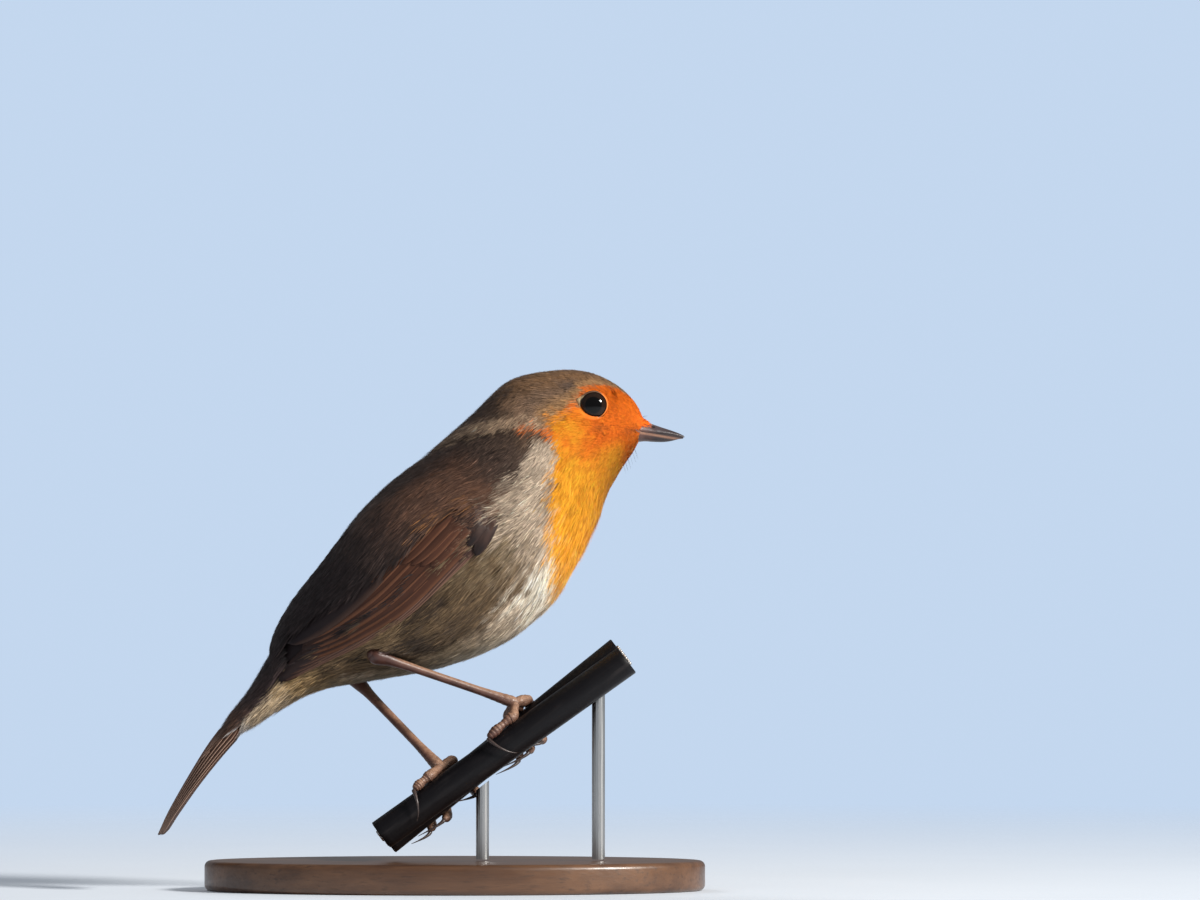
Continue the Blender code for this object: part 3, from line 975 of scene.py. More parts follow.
@dataclass(frozen=True)
class CoreFinish:
    """The stranded metal in the cable's cut ends."""

    colour: Colour = (0.50, 0.47, 0.44)

    def material(self) -> Material:
        """Builds the material."""
        s = Shader("cable_core")
        colour, height = s.mottled(self.colour, s.place(), 1200.0, 0.3)
        return s.finish(Base_Color=colour, Metallic=1.0, Roughness=s.spread(height, 0.3, 0.7, 0.3, 0.5))


@dataclass(frozen=True)
class WoodFinish:
    """Dark stained wood under a satin varnish, with worn edges."""

    light: Colour = (0.150, 0.070, 0.032)
    dark: Colour = (0.050, 0.021, 0.010)
    pore: Colour = (0.022, 0.010, 0.005)

    def material(self) -> Material:
        """Builds the material.

        Returns:
            The material.
        """
        s = Shader("stand_wood_satin")
        place = s.place()
        bend = s.noise(place, 9.0, 2.0)
        x, y, z = s.parts(place)
        moved = s.joined(x, s.math("ADD", y, s.math("MULTIPLY", bend, 12 * MM)), z)
        rings = s.grain(moved, 190.0, 12.0)
        pores = s.grain(moved, 1500.0, 22.0)
        colour = s.mix(s.spread(rings, 0.32, 0.68, 0.0, 1.0), self.dark, self.light)
        colour = s.mix(s.spread(pores, 0.55, 0.72, 0.0, 0.6), colour, self.pore)
        return s.finish(
            Base_Color=colour, Roughness=s.spread(pores, 0.3, 0.7, 0.30, 0.46), Coat_Weight=0.35,
            Coat_Roughness=0.22, Normal=s.bump(pores, 0.05 * MM),
        )


@dataclass(frozen=True)
class SteelFinish:
    """Brushed steel."""

    colour: Colour = (0.58, 0.58, 0.57)
    brushed: Colour = (0.40, 0.40, 0.40)

    def material(self) -> Material:
        """Builds the material.

        Returns:
            The material.
        """
        s = Shader("stand_steel_brushed")
        brush = s.grain(s.turned(s.place(), math.pi / 2), 2600.0, 30.0)
        colour = s.mix(s.spread(brush, 0.35, 0.7, 0.0, 0.5), self.colour, self.brushed)
        rough = s.spread(brush, 0.3, 0.7, 0.24, 0.40)
        return s.finish(Base_Color=colour, Metallic=1.0, Roughness=rough, Normal=s.bump(brush, 0.02 * MM))


@dataclass(frozen=True)
class FloorFinish:
    """A plain pale studio floor, which fades into the surround with distance."""

    colour: Colour = (0.70, 0.75, 0.82)
    solid: float = 0.10
    gone: float = 0.75

    def material(self) -> Material:
        """Builds the material.

        Returns:
            The material.
        """
        s = Shader("studio_floor")
        colour, _ = s.mottled(self.colour, s.place(), 14.0, 0.015)
        x, y, _ = s.parts(s.place())
        off = s.length(s.joined(x, y, 0.0))
        return s.finish(
            Base_Color=colour, Roughness=0.75, Specular_IOR_Level=0.2,
            Alpha=s.spread(off, self.solid, self.gone, 1.0, 0.0),
        )


# ---------------------------------------------------------------- markings


@dataclass(frozen=True)
class Places:
    """Places on the body: sections from the bill, angles in degrees, and points in millimetres."""

    t: Array
    degrees: Array
    points: Array

    @cached_property
    def fine(self) -> Array:
        """Unevenness in patches of about 1 mm."""
        return ripple(self.points, 1.1, 12)

    @cached_property
    def rough(self) -> Array:
        """Unevenness in patches of about 3 mm."""
        return ripple(self.points, 3.2, 11)

    @cached_property
    def broad(self) -> Array:
        """Unevenness in patches of about 9 mm."""
        return ripple(self.points, 9.0, 13)

    @cached_property
    def streaked(self) -> Array:
        """Unevenness in streaks along the body."""
        return ripple(np.stack((2.6 * self.t, 0.30 * self.degrees, 0 * self.t), axis=1), 2.6, 15)


@dataclass(frozen=True)
class Markings:
    """The robin's colours as a function of the place on its body, for skin and coat alike, with painted shade
    and light in places.
    """

    face: Colour = (0.86, 0.165, 0.007)
    bib: Colour = (0.96, 0.392, 0.018)
    low_bib: Colour = (0.94, 0.52, 0.11)
    crown: Colour = (0.31, 0.165, 0.078)
    # paler front of the crown: partly painted light, where the light falls on the forehead
    crown_front: Colour = (0.42, 0.235, 0.115)
    crown_side: Colour = (0.29, 0.172, 0.102)
    behind_eye: Colour = (0.115, 0.085, 0.075)
    # nape and mantle: darker than the bird's own olive-brown, partly painted shade where they face away from
    # the light
    nape: Colour = (0.085, 0.052, 0.036)
    ear: Colour = (0.50, 0.270, 0.110)
    fold: Colour = (0.55, 0.375, 0.240)
    grey: Colour = (0.60, 0.465, 0.340)
    grey_olive: Colour = (0.21, 0.150, 0.086)
    mantle: Colour = (0.078, 0.049, 0.038)
    scapular: Colour = (0.175, 0.084, 0.050)
    # painted shade: the back grows near black towards the rear and the top, where it lies in shade
    shaded_low_back: Colour = (0.019, 0.012, 0.012)
    rump: Colour = (0.045, 0.028, 0.026)
    tail_covert: Colour = (0.095, 0.052, 0.036)
    flank: Colour = (0.150, 0.094, 0.047)
    flank_dark: Colour = (0.022, 0.013, 0.009)
    belly_white: Colour = (0.84, 0.76, 0.62)
    # a cream darkened as painted shade: the low belly and the pale flank streaks lie in shade
    cream: Colour = (0.150, 0.108, 0.062)
    vent: Colour = (0.46, 0.300, 0.130)
    undertail: Colour = (0.42, 0.320, 0.210)
    undertail_end: Colour = (0.50, 0.47, 0.45)
    fleck: Colour = (0.035, 0.022, 0.018)
    fold_shadow: Colour = (0.055, 0.036, 0.028)
    # gap: partly the feathers' own dark grey bases, partly painted shade between the tufts
    gap: Colour = (0.17, 0.118, 0.080)
    # painted shadow: the dark line that lies under the orange streak on the face
    streak_shadow: Colour = (0.05, 0.03, 0.02)
    under_eye: Colour = (0.30, 0.10, 0.02)
    # painted shadow along the corner of the mouth
    gape_line: Colour = (0.16, 0.045, 0.015)
    chin: Colour = (0.93, 0.55, 0.16)
    covert_tip: Colour = (0.50, 0.21, 0.06)
    darkest: float = 0.004
    lightest: float = 0.95

    bib_edge: tuple[tuple[float, float], ...] = (
        (0.0, 100), (1.05, 95), (1.38, 72), (2.2, 56), (3.0, 42), (3.35, 37), (3.6, 27), (3.85, 20),
        (4.3, 18), (4.7, 17), (4.9, 6), (5.1, -8), (5.6, -14), (6.1, -18), (6.7, -28), (7.23, -37),
        (8.1, -54), (8.6, -74), (8.9, -100), (15, -100),
    )
    grey_edge: tuple[tuple[float, float], ...] = (
        (4.9, 2), (5.28, 8), (5.93, 5), (6.85, 1), (7.33, -2), (7.9, -8), (9.0, 4), (15, 4),
    )
    fold_line: tuple[tuple[float, float], ...] = (
        (-90, 5.0), (10, 5.1), (24, 5.28), (42, 5.88), (79, 6.83), (90, 6.95),
    )

    def colours(self, at: Places) -> Array:
        """Colours on the body.

        Args:
            at: The places.

        Returns:
            One linear colour for each place.
        """
        t, degrees, rough, fine = at.t, at.degrees, at.rough, at.fine
        out = mixed(self.upper(at), self.under(at), self.low(at))
        inside = table(t, *self.bib_edge) - degrees
        near_edge = step_up(1.2, 3.4, t) * step_up(5.2, 4.4, t) * hump(inside, -6, 9)
        out = blend_to(out, self.ear, 0.75 * near_edge)
        soft = np.where(t < 5.0, 4.5, 2.0)
        ragged = inside + 2.2 * rough + 2.0 * fine
        out = mixed(out, self.orange(at), np.clip((ragged + soft) / (2 * soft), 0, 1))
        tufts = step_up(0.75, 1.0, fine) * hump(inside, 5, 6) * step_up(6.2, 7.0, t)
        past = degrees - table(t, (4.9, 3), (5.3, 22))
        streak = step_up(4.6, 4.8, t) * step_up(5.5, 5.35, t) * 0.85 * hump(past, 2, 3.2)
        # painted shadow under the orange streak, where its feathers would cast one
        streak_shadow = 0.75 * step_up(4.95, 5.05, t) * step_up(5.5, 5.35, t) * hump(past, -4.5, 3.0)
        chin = step_up(2.0, 1.0, t) * hump(degrees, -52, 22) * step_up(0.1, 0.8, fine + 0.5 * rough)
        coverts = degrees - table(t, (7.4, 11), (7.9, 15), (8.3, 19), (8.8, 21))
        tips = step_up(7.35, 7.5, t) * step_up(8.8, 8.5, t) * hump(coverts, 0, 3.0)
        for colour, weight in (
            (self.grey, 0.8 * tufts),
            (self.face, streak),
            (self.streak_shadow, streak_shadow * step_up(-8, 0, degrees)),
            (self.under_eye, 0.5 * hump(t, 2.9, 0.35) * hump(degrees, -3, 4)),
            # painted shadow: a dark line back from the corner of the mouth
            (self.gape_line, 0.55 * hump(t, 0.9, 0.7) * hump(degrees, -10, 6)),
            (self.chin, 0.45 * chin),
            (self.covert_tip, 0.75 * tips * step_up(0.0, 0.7, ripple(at.points, 1.7, 14))),
        ):
            out = blend_to(out, colour, weight)
        return np.clip(out, self.darkest, self.lightest)

    def upper(self, at: Places) -> Array:
        """Crown, nape, back and rump, with the pale fold where the nape lies over the shoulder, and painted
        shade on the nape, mantle and lower back.

        Args:
            at: The places.

        Returns:
            One colour for each place.
        """
        t, degrees, rough, fine = at.t, at.degrees, at.rough, at.fine
        past = t - table(degrees, *self.fold_line)
        on_fold = step_up(12, 22, degrees)
        under_fold = 0.5 * on_fold * step_up(84, 50, degrees)
        flecks = step_up(0.55, 0.95, ripple(at.points, 0.9, 16)) * step_up(3.6, 2.4, t)
        scapular = step_up(6.3, 7.2, t) * step_up(9.4, 8.0, t) * step_up(64, 40, degrees)
        return layered(
            self.mantle,
            (self.nape, step_up(6.9, 5.6, t)),
            (self.crown, step_up(5.6, 4.4, t + 0.2 * rough)),
            (self.crown_side, step_up(62, 38, degrees + 6 * rough) * step_up(5.8, 5.0, t)),
            # partly painted light on the front of the crown
            (self.crown_front, step_up(2.9, 1.5, t + 0.2 * rough)),
            (self.behind_eye, 0.85 * hump(t, 3.55, 0.42) * hump(degrees + 3 * fine, 45, 8)),
            (self.behind_eye, 0.45 * hump(t, 4.6, 0.5) * hump(degrees, 33, 9)),
            (self.fleck, 0.7 * (flecks * step_up(60, 75, degrees))),
            (self.scapular, scapular * (0.75 + 0.25 * rough)),
            # painted shade over the lower back
            (self.shaded_low_back, step_up(8.0, 10.6, t + degrees / 90 + 0.3 * at.broad)),
            (self.rump, step_up(12.4, 13.6, t)),
            (self.tail_covert, step_up(13.9, 14.9, t + 0.2 * rough)),
            (self.fold, on_fold * hump(past + 0.05 * fine, -0.12, 0.19) * step_up(98, 50, degrees)),
            (self.fold_shadow, under_fold * hump(past + 0.05 * rough, 0.20, 0.12)),
        )

    def low(self, at: Places) -> Array:
        """The underside's share at each place."""
        low = step_up(6, -2, at.degrees - table(at.t, *self.grey_edge) + 3.0 * at.rough)
        low *= step_up(4.8, 5.0, at.t)
        below = at.degrees - table(at.t, (12.8, 4), (13.4, 2), (14.2, -8), (15, -10))
        return np.where(at.t > 12.6, step_up(5, -3, below + 3 * at.fine), low)

    def under(self, at: Places) -> Array:
        """The underside behind the bib: grey band, flank, belly, vent and undertail, with painted shade on
        the flank and the low belly.

        Args:
            at: The places.

        Returns:
            One colour for each place.
        """
        t, degrees, rough, broad, streaked = at.t, at.degrees, at.rough, at.broad, at.streaked
        # darker streaks on the grey band: partly the dark feather bases, partly painted shade in the gaps
        # between tufts
        gaps = step_up(0.0, 0.7, -streaked + 0.5 * at.fine) * step_up(5.6, 6.4, t) * step_up(8.6, 7.9, t)
        streak = step_up(0.0, 0.9, streaked) * step_up(8.6, 9.6, t) * step_up(-70, -30, degrees)
        pale_streak = step_up(0.3, 1.0, -streaked) * step_up(8.2, 9.0, t) * step_up(12.5, 11.5, t)
        # painted shade: flank_dark over a patch of the flank and a hollow in front of it, where shade falls
        # between clumped feathers
        shade = hump(t, 10.4, 1.0) * hump(degrees + 8 * broad, -35, 11)
        hollow_shade = hump(t + 0.2 * rough, 9.8, 0.42) * hump(degrees + 4 * rough, -10, 9)
        pale = hump(t + 0.2 * rough, 8.4, 0.62) * step_up(-38, -52, degrees + 5 * rough)
        return layered(
            self.grey,
            (self.gap, 0.6 * gaps * step_up(-60, -30, degrees)),
            (self.grey_olive, step_up(7.5, 8.3, t + 0.25 * rough) * step_up(-50, -22, degrees)),
            (self.flank, step_up(8.0, 9.1, t + 0.35 * rough) * step_up(-62, -40, degrees + 6 * broad)),
            (self.flank_dark, 0.7 * streak),
            (self.cream, 0.45 * pale_streak),
            (self.flank_dark, 0.93 * shade),
            (self.flank_dark, 0.75 * hollow_shade),
            # painted shade: the low belly in a darkened cream
            (self.cream, step_up(8.8, 10.2, t) * step_up(-38, -60, degrees + 6 * streaked)),
            (self.belly_white, 0.20 * hump(t, 10.0, 1.6) * step_up(-55, -74, degrees + 5 * streaked)),
            (self.belly_white, pale),
            (self.vent, step_up(12.0, 13.2, t) * (0.65 + 0.35 * rough)),
            (self.undertail, step_up(12.9, 13.9, t + 0.2 * rough)),
            (self.undertail_end, step_up(14.3, 15.2, t)),
        )

    def orange(self, at: Places) -> Array:
        """The face and bib, redder towards the bill."""
        redder = step_up(5.8, 3.2, at.t + 0.4 * at.broad - 0.3 * at.rough)
        redder = redder * (1 - 0.75 * step_up(-12, -40, at.degrees) * step_up(1.2, 2.4, at.t))
        return layered(
            self.bib,
            (self.face, redder),
            (self.low_bib, step_up(7.4, 8.8, at.t + 0.25 * at.rough) * 0.8),
            (self.low_bib, 0.4 * step_up(0.5, 1.1, at.rough) * step_up(5.5, 6.5, at.t)),
        )


# ---------------------------------------------------------------- skin and coat


@dataclass(frozen=True)
class Eyes:
    """Where the eyes are, from the solids, and how the coat clears them."""

    centre: Vector
    radius: float
    opening: float = 2.56
    corner: float = 160.0
    corner_reach: float = 0.75
    rim_level: float = 8.85
    fall: float = 0.62
    softness: float = 0.10
    clear: float = 3.0
    roots_inside: float = 0.55

    @classmethod
    def from_solids(cls) -> "Eyes":
        """Reads the left eye's place and size.

        Returns:
            The eyes.
        """
        low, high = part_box("eye_left")
        middle, size = (low + high) / 2 / MM, (high - low) / MM
        return cls(centre=middle, radius=size.z / 2)

    @property
    def middle(self) -> Array:
        """The eye's middle, seen from the side."""
        return np.array((self.centre.x, self.centre.z))

    def brow(self, points: Array, depth: float = 0.0) -> Array:
        """Raises points beside an eye, so that the face meets the ball's rim all round.

        Args:
            points: Points on or near the face.
            depth: How far under the coat the raised form lies.

        Returns:
            The points, moved outward where they were too low.
        """
        off = np.linalg.norm(points[..., [0, 2]] - self.middle, axis=-1)
        target = self.rim_level - depth - self.fall * np.maximum(off - self.opening, 0) ** 1.7
        across = np.abs(points[..., 1])
        gap = across - target
        smooth = target + (gap + np.sqrt(gap * gap + self.softness)) / 2
        share = step_up(6.0, 4.4, off) * step_up(3.5, 5.5, across)
        out = points.copy()
        out[..., 1] = np.sign(points[..., 1]) * (across + (np.maximum(smooth, across) - across) * share)
        return out

    def push_off(self, points: Array) -> Array:
        """Moves points that lie over an eye out to its rim.

        Args:
            points: Points on the coat.

        Returns:
            The points, clear of the eye.
        """
        off = points[..., [0, 2]] - self.middle
        far = np.maximum(np.linalg.norm(off, axis=-1, keepdims=True), 1e-6)
        round_it = np.degrees(np.arctan2(off[..., 1], off[..., 0])) % 360
        clear = self.clear + self.corner_reach * hump(round_it, self.corner, 9)
        over = (far[..., 0] < clear) & (np.abs(points[..., 1]) > 4)
        moved = self.middle + off / far * clear[..., None]
        out = points.copy()
        out[..., [0, 2]] = np.where(over[..., None], moved, out[..., [0, 2]])
        return out


@dataclass(frozen=True)
class Toe:
    """A toe on a strand: places along the cable and angles round the strand, and its claw's end."""

    strand: str
    start: float
    end: float
    first: float
    last: float
    claw_end: float
    claw_angle: float


@dataclass(frozen=True)
class LegPlan:
    """One leg's sizes, as in the solids: where it starts, where its foot is, and its toes."""

    side: Side
    hip: tuple[float, float, float]
    heel: tuple[float, float, float]
    foot: float
    lift: float
    swell: float
    toes: tuple[Toe, ...]


@dataclass(frozen=True)
class Skin:
    """The one skin under the coat, with a swell for each thigh."""

    body: BodyForm
    markings: Markings
    eyes: Eyes
    legs: tuple[LegPlan, ...]
    along: int = 200
    around: int = 120
    brow_depth: float = 0.65
    # painted shade: skin that is not orange is darkened, as it lies in shade under the coat
    shade: float = 0.6
    thigh_start: tuple[float, float, float] = (2.4, 0.0, 3.0)
    thigh_width: float = 3.6

    def depth(self, t: Array, degrees: Array) -> Array:
        """How far the skin lies inside the coat's outer form."""
        depth = table(t, (0, 0.45), (1, 0.5), (3, 0.55), (5, 0.7), (7, 1.0), (13, 1.1), (15, 0.9))
        past = t - table(degrees, *self.body.fold)
        return depth + 0.4 * hump(past, 0.12, 0.2) * step_up(10, 24, degrees)

    def swell(self, points: Array) -> Array:
        """Extra height where a thigh leaves the body."""
        extra = np.zeros(points.shape[:-1])
        for leg in self.legs:
            off = np.linalg.norm(points - (np.array(leg.heel) + self.thigh_start), axis=-1)
            extra += leg.swell * np.exp(-(off / self.thigh_width) ** 2)
        return extra

    def spot(self, around: Array, along: Array) -> tuple[Array, Array, Array]:
        """Section, angle and turn for shares round and along the skin, from the belly's middle."""
        turn = 2 * math.pi * around - math.pi / 2
        return self.body.end * along, np.arctan2(np.sin(turn), np.abs(np.cos(turn))), turn

    def surface(self, around: Array, along: Array) -> Array:
        """The skin's points.

        Args:
            around: Shares of the way round.
            along: Shares of the way along.

        Returns:
            Places in millimetres.
        """
        t, angle, turn = self.spot(around, along)
        side = np.where(np.cos(turn) >= 0, 1.0, -1.0)
        point, normal = self.body.surface(t, angle, -self.depth(t, np.degrees(angle)))
        point[:, 1] *= side
        normal[:, 1] *= side
        return self.eyes.brow(point + normal * self.swell(point)[:, None], self.brow_depth)

    def build(self, material: Material) -> bpy.types.Object:
        """Builds the skin.

        Args:
            material: Its material.

        Returns:
            The object.
        """
        bm = fresh_mesh(painted=True, maps=(BAKE_MAP,))
        verts, around, along = bent_grid(bm, self.around, self.along, self.surface)
        t, angle, _ = self.spot(around, along)
        points = np.array([v.co for v in verts])
        colours = self.markings.colours(Places(t, np.degrees(angle), points))
        # painted shade on the skin under the coat, except in the orange
        is_orange = colours[:, 2] < 0.05
        paint(bm, verts, colours * np.where(is_orange, 1.0, self.shade)[:, None])
        write_map(bm, BAKE_MAP, verts, self.body.length_share(t), 0.01 + 0.98 * around)
        close_up(bm, verts, 1e-4)
        return object_from(bm, "robin_skin", material)


@dataclass(frozen=True)
class CoatPiece:
    """A part of the coat that is one object: its name, slot and the places whose tufts it takes."""

    name: str
    slot: Slot
    takes: Callable[[Array, Array, Array], Array]


@dataclass
class Coat:
    """Every small feather, as a tuft of fine barbs that lies along the body."""

    body: BodyForm
    wing: WingForm
    skin: Skin
    markings: Markings
    eyes: Eyes
    legs: tuple[LegPlan, ...]
    barbs: int = 16
    shares: tuple[float, ...] = (0.0, 0.35, 0.7, 1.0)
    widths: tuple[float, ...] = (0.7, 1.0, 0.75, 0.0)
    gaps: tuple[tuple[float, float], ...] = (
        (0, 0.28), (1, 0.42), (2, 0.56), (3, 0.66), (4, 0.74), (5, 0.82), (6, 0.90), (8, 1.0), (15, 1.05),
    )
    top_of_wing: tuple[tuple[float, float], ...] = (
        (7.2, 5), (7.5, 10), (7.9, 14), (8.2, 17), (9.05, 22), (10.1, 31), (11, 41), (11.8, 50),
        (12.3, 34), (12.8, 16), (13.2, 6),
    )
    barb_lengths: tuple[tuple[float, float], ...] = (
        (0, 1.1), (1, 1.4), (2, 1.7), (3, 2.1), (4, 2.8), (5, 3.6), (6, 4.4), (7, 5.0), (8, 5.6),
        (9, 6.2), (10, 6.8), (11, 7.2), (12, 7.2), (13, 7.0), (14, 6.6), (15, 5.0),
    )
    fan: float = 17.0
    curve: float = 0.32
    over_wing: float = 0.55
    over_hand: float = 1.15
    over_tail: float = 0.5
    sunk: float = 0.1
    ruffle: float = 0.34
    clear_of_leg: float = 1.75
    seed: int = 7

    @property
    def rank(self) -> Array:
        """Each barb's place in its tuft's fan, from -1 to 1."""
        half = (self.barbs - 1) / 2
        return (np.arange(self.barbs) - half) / half

    def bare(self, t: Array, degrees: Array) -> Array:
        """Where the wing's own vanes cover the body."""
        low = self.wing.edge(self.wing.lower_edge, t) + 3.0
        behind_shoulder = (t > 7.45 + 0.41 * step_up(10, 17, degrees)) & (t < 13.2)
        return behind_shoulder & (degrees > low) & (degrees < table(t, *self.top_of_wing))

    def roots(self) -> tuple[Array, Array, Array]:
        """Scatters the roots of tufts evenly over both sides.

        Returns:
            Each root's t, angle and side.
        """
        rows, columns = 360, 180
        t = np.linspace(0.02, self.body.end - 0.05, rows)
        angle = np.radians(np.linspace(-90, 90, columns))
        grid_t, grid_angle = np.meshgrid(t, angle, indexing="ij")
        area = np.linalg.norm(np.cross(*self.body.slopes(grid_t, grid_angle)), axis=-1) / (4 * NUDGE**2)
        density = area / table(grid_t, *self.gaps) ** 2
        density *= ~self.bare(grid_t.ravel(), np.degrees(grid_angle).ravel()).reshape(area.shape)
        cell = (t[1] - t[0]) * (angle[1] - angle[0])
        count = int(2 * density.sum() * cell)
        index = np.arange(count)
        # Steps of the plastic number spread points evenly over a square.
        first = np.modf(0.5 + index * 0.7548776662466927)[0]
        second = np.modf(0.5 + index * 0.5698402909980532)[0]
        down = np.cumsum(density.sum(axis=1))
        root_t = np.interp(first, down / down[-1], t)
        row = np.clip(np.searchsorted(t, root_t), 0, rows - 1)
        across = np.cumsum(density, axis=1)
        across /= across[:, -1:]
        pair = 2 * second
        side = np.where(pair < 1, 1.0, -1.0)
        within = np.modf(pair)[0]
        stacked = (across + np.arange(rows)[:, None]).ravel()
        found = np.clip(np.searchsorted(stacked, row + within) - row * columns, 0, columns - 1)
        draw = np.random.default_rng(self.seed)
        root_angle = angle[found] + draw.uniform(-0.5, 0.5, count) * (angle[1] - angle[0])
        return root_t, root_angle, side

    def lengths(self, t: Array, degrees: Array) -> Array:
        """How long the barbs are."""
        by_breast = 0.55 * hump(t, 6.6, 1.0) * hump(degrees, -2, 20)
        length = table(t, *self.barb_lengths) * (1 + 0.12 * step_up(-20, -60, degrees) + by_breast)
        length = length * (1 - 0.15 * step_up(30, 70, degrees))
        length = length * (1 + 0.28 * hump(t, 9.8, 1.4) * hump(degrees, -24, 30))
        return length + 4.0 * step_up(13.6, 14.6, t) * step_up(-10, 20, degrees)

    def lean(self, t: Array, degrees: Array) -> Array:
        """How far the coat's lie turns from the body's length towards the back, in degrees."""
        side_of_breast = hump(t, 7.3, 1.4) * hump(degrees, -6, 28)
        return 46 * side_of_breast - 10 * hump(t, 2.0, 0.8) * hump(degrees, -10, 18)

    def strands(self, t: Array, angle: Array, side: Array, draw: np.random.Generator) -> dict[str, Array]:
        """Lays out each barb of each tuft.

        Args:
            t: The roots' sections.
            angle: Their angles.
            side: Their sides' signs.
            draw: The source of chance.

        Returns:
            Arrays by name: centre, normal, width, colour, u, v and tilt.
        """
        size = (len(t), self.barbs)
        degrees, share, sign = np.degrees(angle), np.array(self.shares), side[:, None, None]
        root, _ = self.body.surface(t, angle)
        root[:, 1] *= side
        loose = table(t, (0, 0.0), (3.5, 0.25), (6, 1.0), (15, 1.0)) * step_up(40, 15, degrees)
        ahead, aside = self.runs(t, degrees, root, loose, draw)
        t_long, a_long, t_cross, a_cross = (rate[:, None, None] for rate in self.body.reach(t, angle))
        at_t = t[:, None, None] + t_long * ahead + t_cross * aside
        at_angle = angle[:, None, None] + a_long * ahead + a_cross * aside
        folded = np.degrees(at_angle)
        folded = np.where(folded > 90, 180 - folded, np.where(folded < -90, -180 - folded, folded))
        lift = draw.normal(0.02, 0.12, size) + 0.10 * step_up(-30, -70, degrees)[:, None]
        lift *= table(t, (0, 0.5), (3, 0.7), (6, 1.0), (15, 1.3))[:, None]
        lift = lift + (self.ruffle * loose * ripple(root, 4.0, 23))[:, None]
        height = self.heights(t, degrees, at_t, folded, lift)
        centre, normal = self.body.surface(at_t, at_angle, height)
        flat, _ = self.body.surface(at_t, at_angle)
        for array in (centre, normal, flat):
            array[..., 1] *= sign
        centre = centre + normal * self.skin.swell(centre)[..., None]
        centre[..., 1] += self.eyes.brow(flat)[..., 1] - flat[..., 1]
        centre = self.eyes.push_off(centre)
        width = table(t, (0, 0.14), (2, 0.17), (5, 0.19), (8, 0.20), (15, 0.23))[:, None]
        width = (width * draw.uniform(0.7, 1.25, size))[:, :, None] * np.array(self.widths)
        width = width * (1 - 0.3 * hump(t, 6.8, 1.2) * hump(degrees, -4, 24))[:, None, None]
        colour = self.tones(t, degrees, at_t, folded, centre[:, :, 2], draw)
        u, v = (place[:, None, None] for place in self.body.unwrap(t, angle, side))
        tilt = table(t, (0, 0.10), (4, 0.16), (7, 0.30), (15, 0.30))[:, None]
        return {
            "centre": centre, "normal": normal, "width": width, "colour": colour,
            "u": np.broadcast_to(u + TUFT_PATCH * (share - 0.5), at_t.shape),
            "v": np.broadcast_to(v + TUFT_PATCH * 0.5 * self.rank[:, None], at_t.shape),
            "tilt": draw.normal(0, 1, size) * tilt,
        }

    def runs(
        self, t: Array, degrees: Array, root: Array, loose: Array, draw: np.random.Generator
    ) -> tuple[Array, Array]:
        """How far the barbs run along the body and across it from their roots.

        Args:
            t: The roots' sections.
            degrees: Their angles.
            root: Their places.
            loose: How loosely the coat lies there.
            draw: The source of chance.

        Returns:
            Millimetres ahead and aside, for each point of each barb.
        """
        size, count, share = (len(t), self.barbs), len(t), np.array(self.shares)
        length = self.lengths(t, degrees) * draw.uniform(0.82, 1.15, count)
        clumps = ripple(root, 5.5, 21) + 0.6 * ripple(root, 2.6, 22)
        lean = self.lean(t, degrees) + (3.0 + 7.0 * loose) * clumps + draw.normal(0, 4.0, count)
        fan = np.radians(self.fan) * self.rank + draw.normal(0, np.radians(4.0), size)
        fan *= table(t, (0, 1.5), (3, 1.3), (6, 1.0), (15, 1.0))[:, None]
        forward = draw.random(count) < step_up(0.95, 0.0, t)
        way = (fan + np.radians(lean)[:, None] + math.pi * forward[:, None])[:, :, None]
        each = length[:, None] * (1 - 0.22 * self.rank**2) * draw.uniform(0.78, 1.12, size)
        start = draw.uniform(-0.14, 0.12, size)[:, :, None] * length[:, None, None]
        ahead = start + each[:, :, None] * share * np.cos(way)
        aside = each[:, :, None] * (share * (1 - self.curve * share)) * np.sin(way)
        scatter = table(t, (0, 0.6), (6, 1.6), (15, 2))[:, None, None]
        return ahead, aside + draw.normal(0, 0.10, size)[:, :, None] * scatter

    def heights(self, t: Array, degrees: Array, at_t: Array, folded: Array, lift: Array) -> Array:
        """How high the barbs lie over the body's form.

        Args:
            t: The roots' sections.
            degrees: The roots' angles.
            at_t: The points' sections.
            folded: The points' angles.
            lift: How far each barb's tip stands up.

        Returns:
            Millimetres for each point of each barb.
        """
        share = np.array(self.shares)
        depth = self.skin.depth(at_t.ravel(), folded.ravel()).reshape(at_t.shape)
        under = (t > 8.3) & (degrees < self.wing.edge(self.wing.lower_edge, t) + 2.0)
        height = self.wing.height(at_t, folded) * (1 - under)[:, None, None]
        swept = np.maximum(step_up(6, 20, folded), hump(t, 6.9, 0.8)[:, None, None])
        on_wing = step_up(0.4, 1.6, height) * swept
        height = height + self.over_wing * on_wing * (1 - 0.8 * step_up(11.3, 12.6, at_t))
        height = height - depth * (1 - 0.75 * on_wing) * (1 - share) ** 1.3 - self.sunk
        height = height + lift[:, :, None] * share**2
        height = height + self.ledge(at_t, folded, t)
        on_hand = hump(at_t, 7.72, 0.40) * hump(folded, -3.0, 13.0) * step_up(7.70, 7.40, t)[:, None, None]
        on_tail = step_up(14.0, 15.0, at_t) * step_up(5, 30, folded)
        return height + self.over_hand * on_hand + self.over_tail * on_tail

    def tones(
        self, t: Array, degrees: Array, at_t: Array, folded: Array, points: Array, draw: np.random.Generator
    ) -> Array:
        """Colours the barbs by the markings, with chance from tuft to tuft and barb to barb.

        Args:
            t: The roots' sections.
            degrees: The roots' angles.
            at_t: The points' sections.
            folded: The points' angles.
            points: One point of each barb, for the unevenness.
            draw: The source of chance.

        Returns:
            One colour for each point of each barb.
        """
        count, per = at_t.shape[:2]

        def chance() -> Array:
            """Chance that the barbs of a tuft have in part in common."""
            return draw.normal(size=(count, 1)) + 0.7 * draw.normal(size=(count, per))

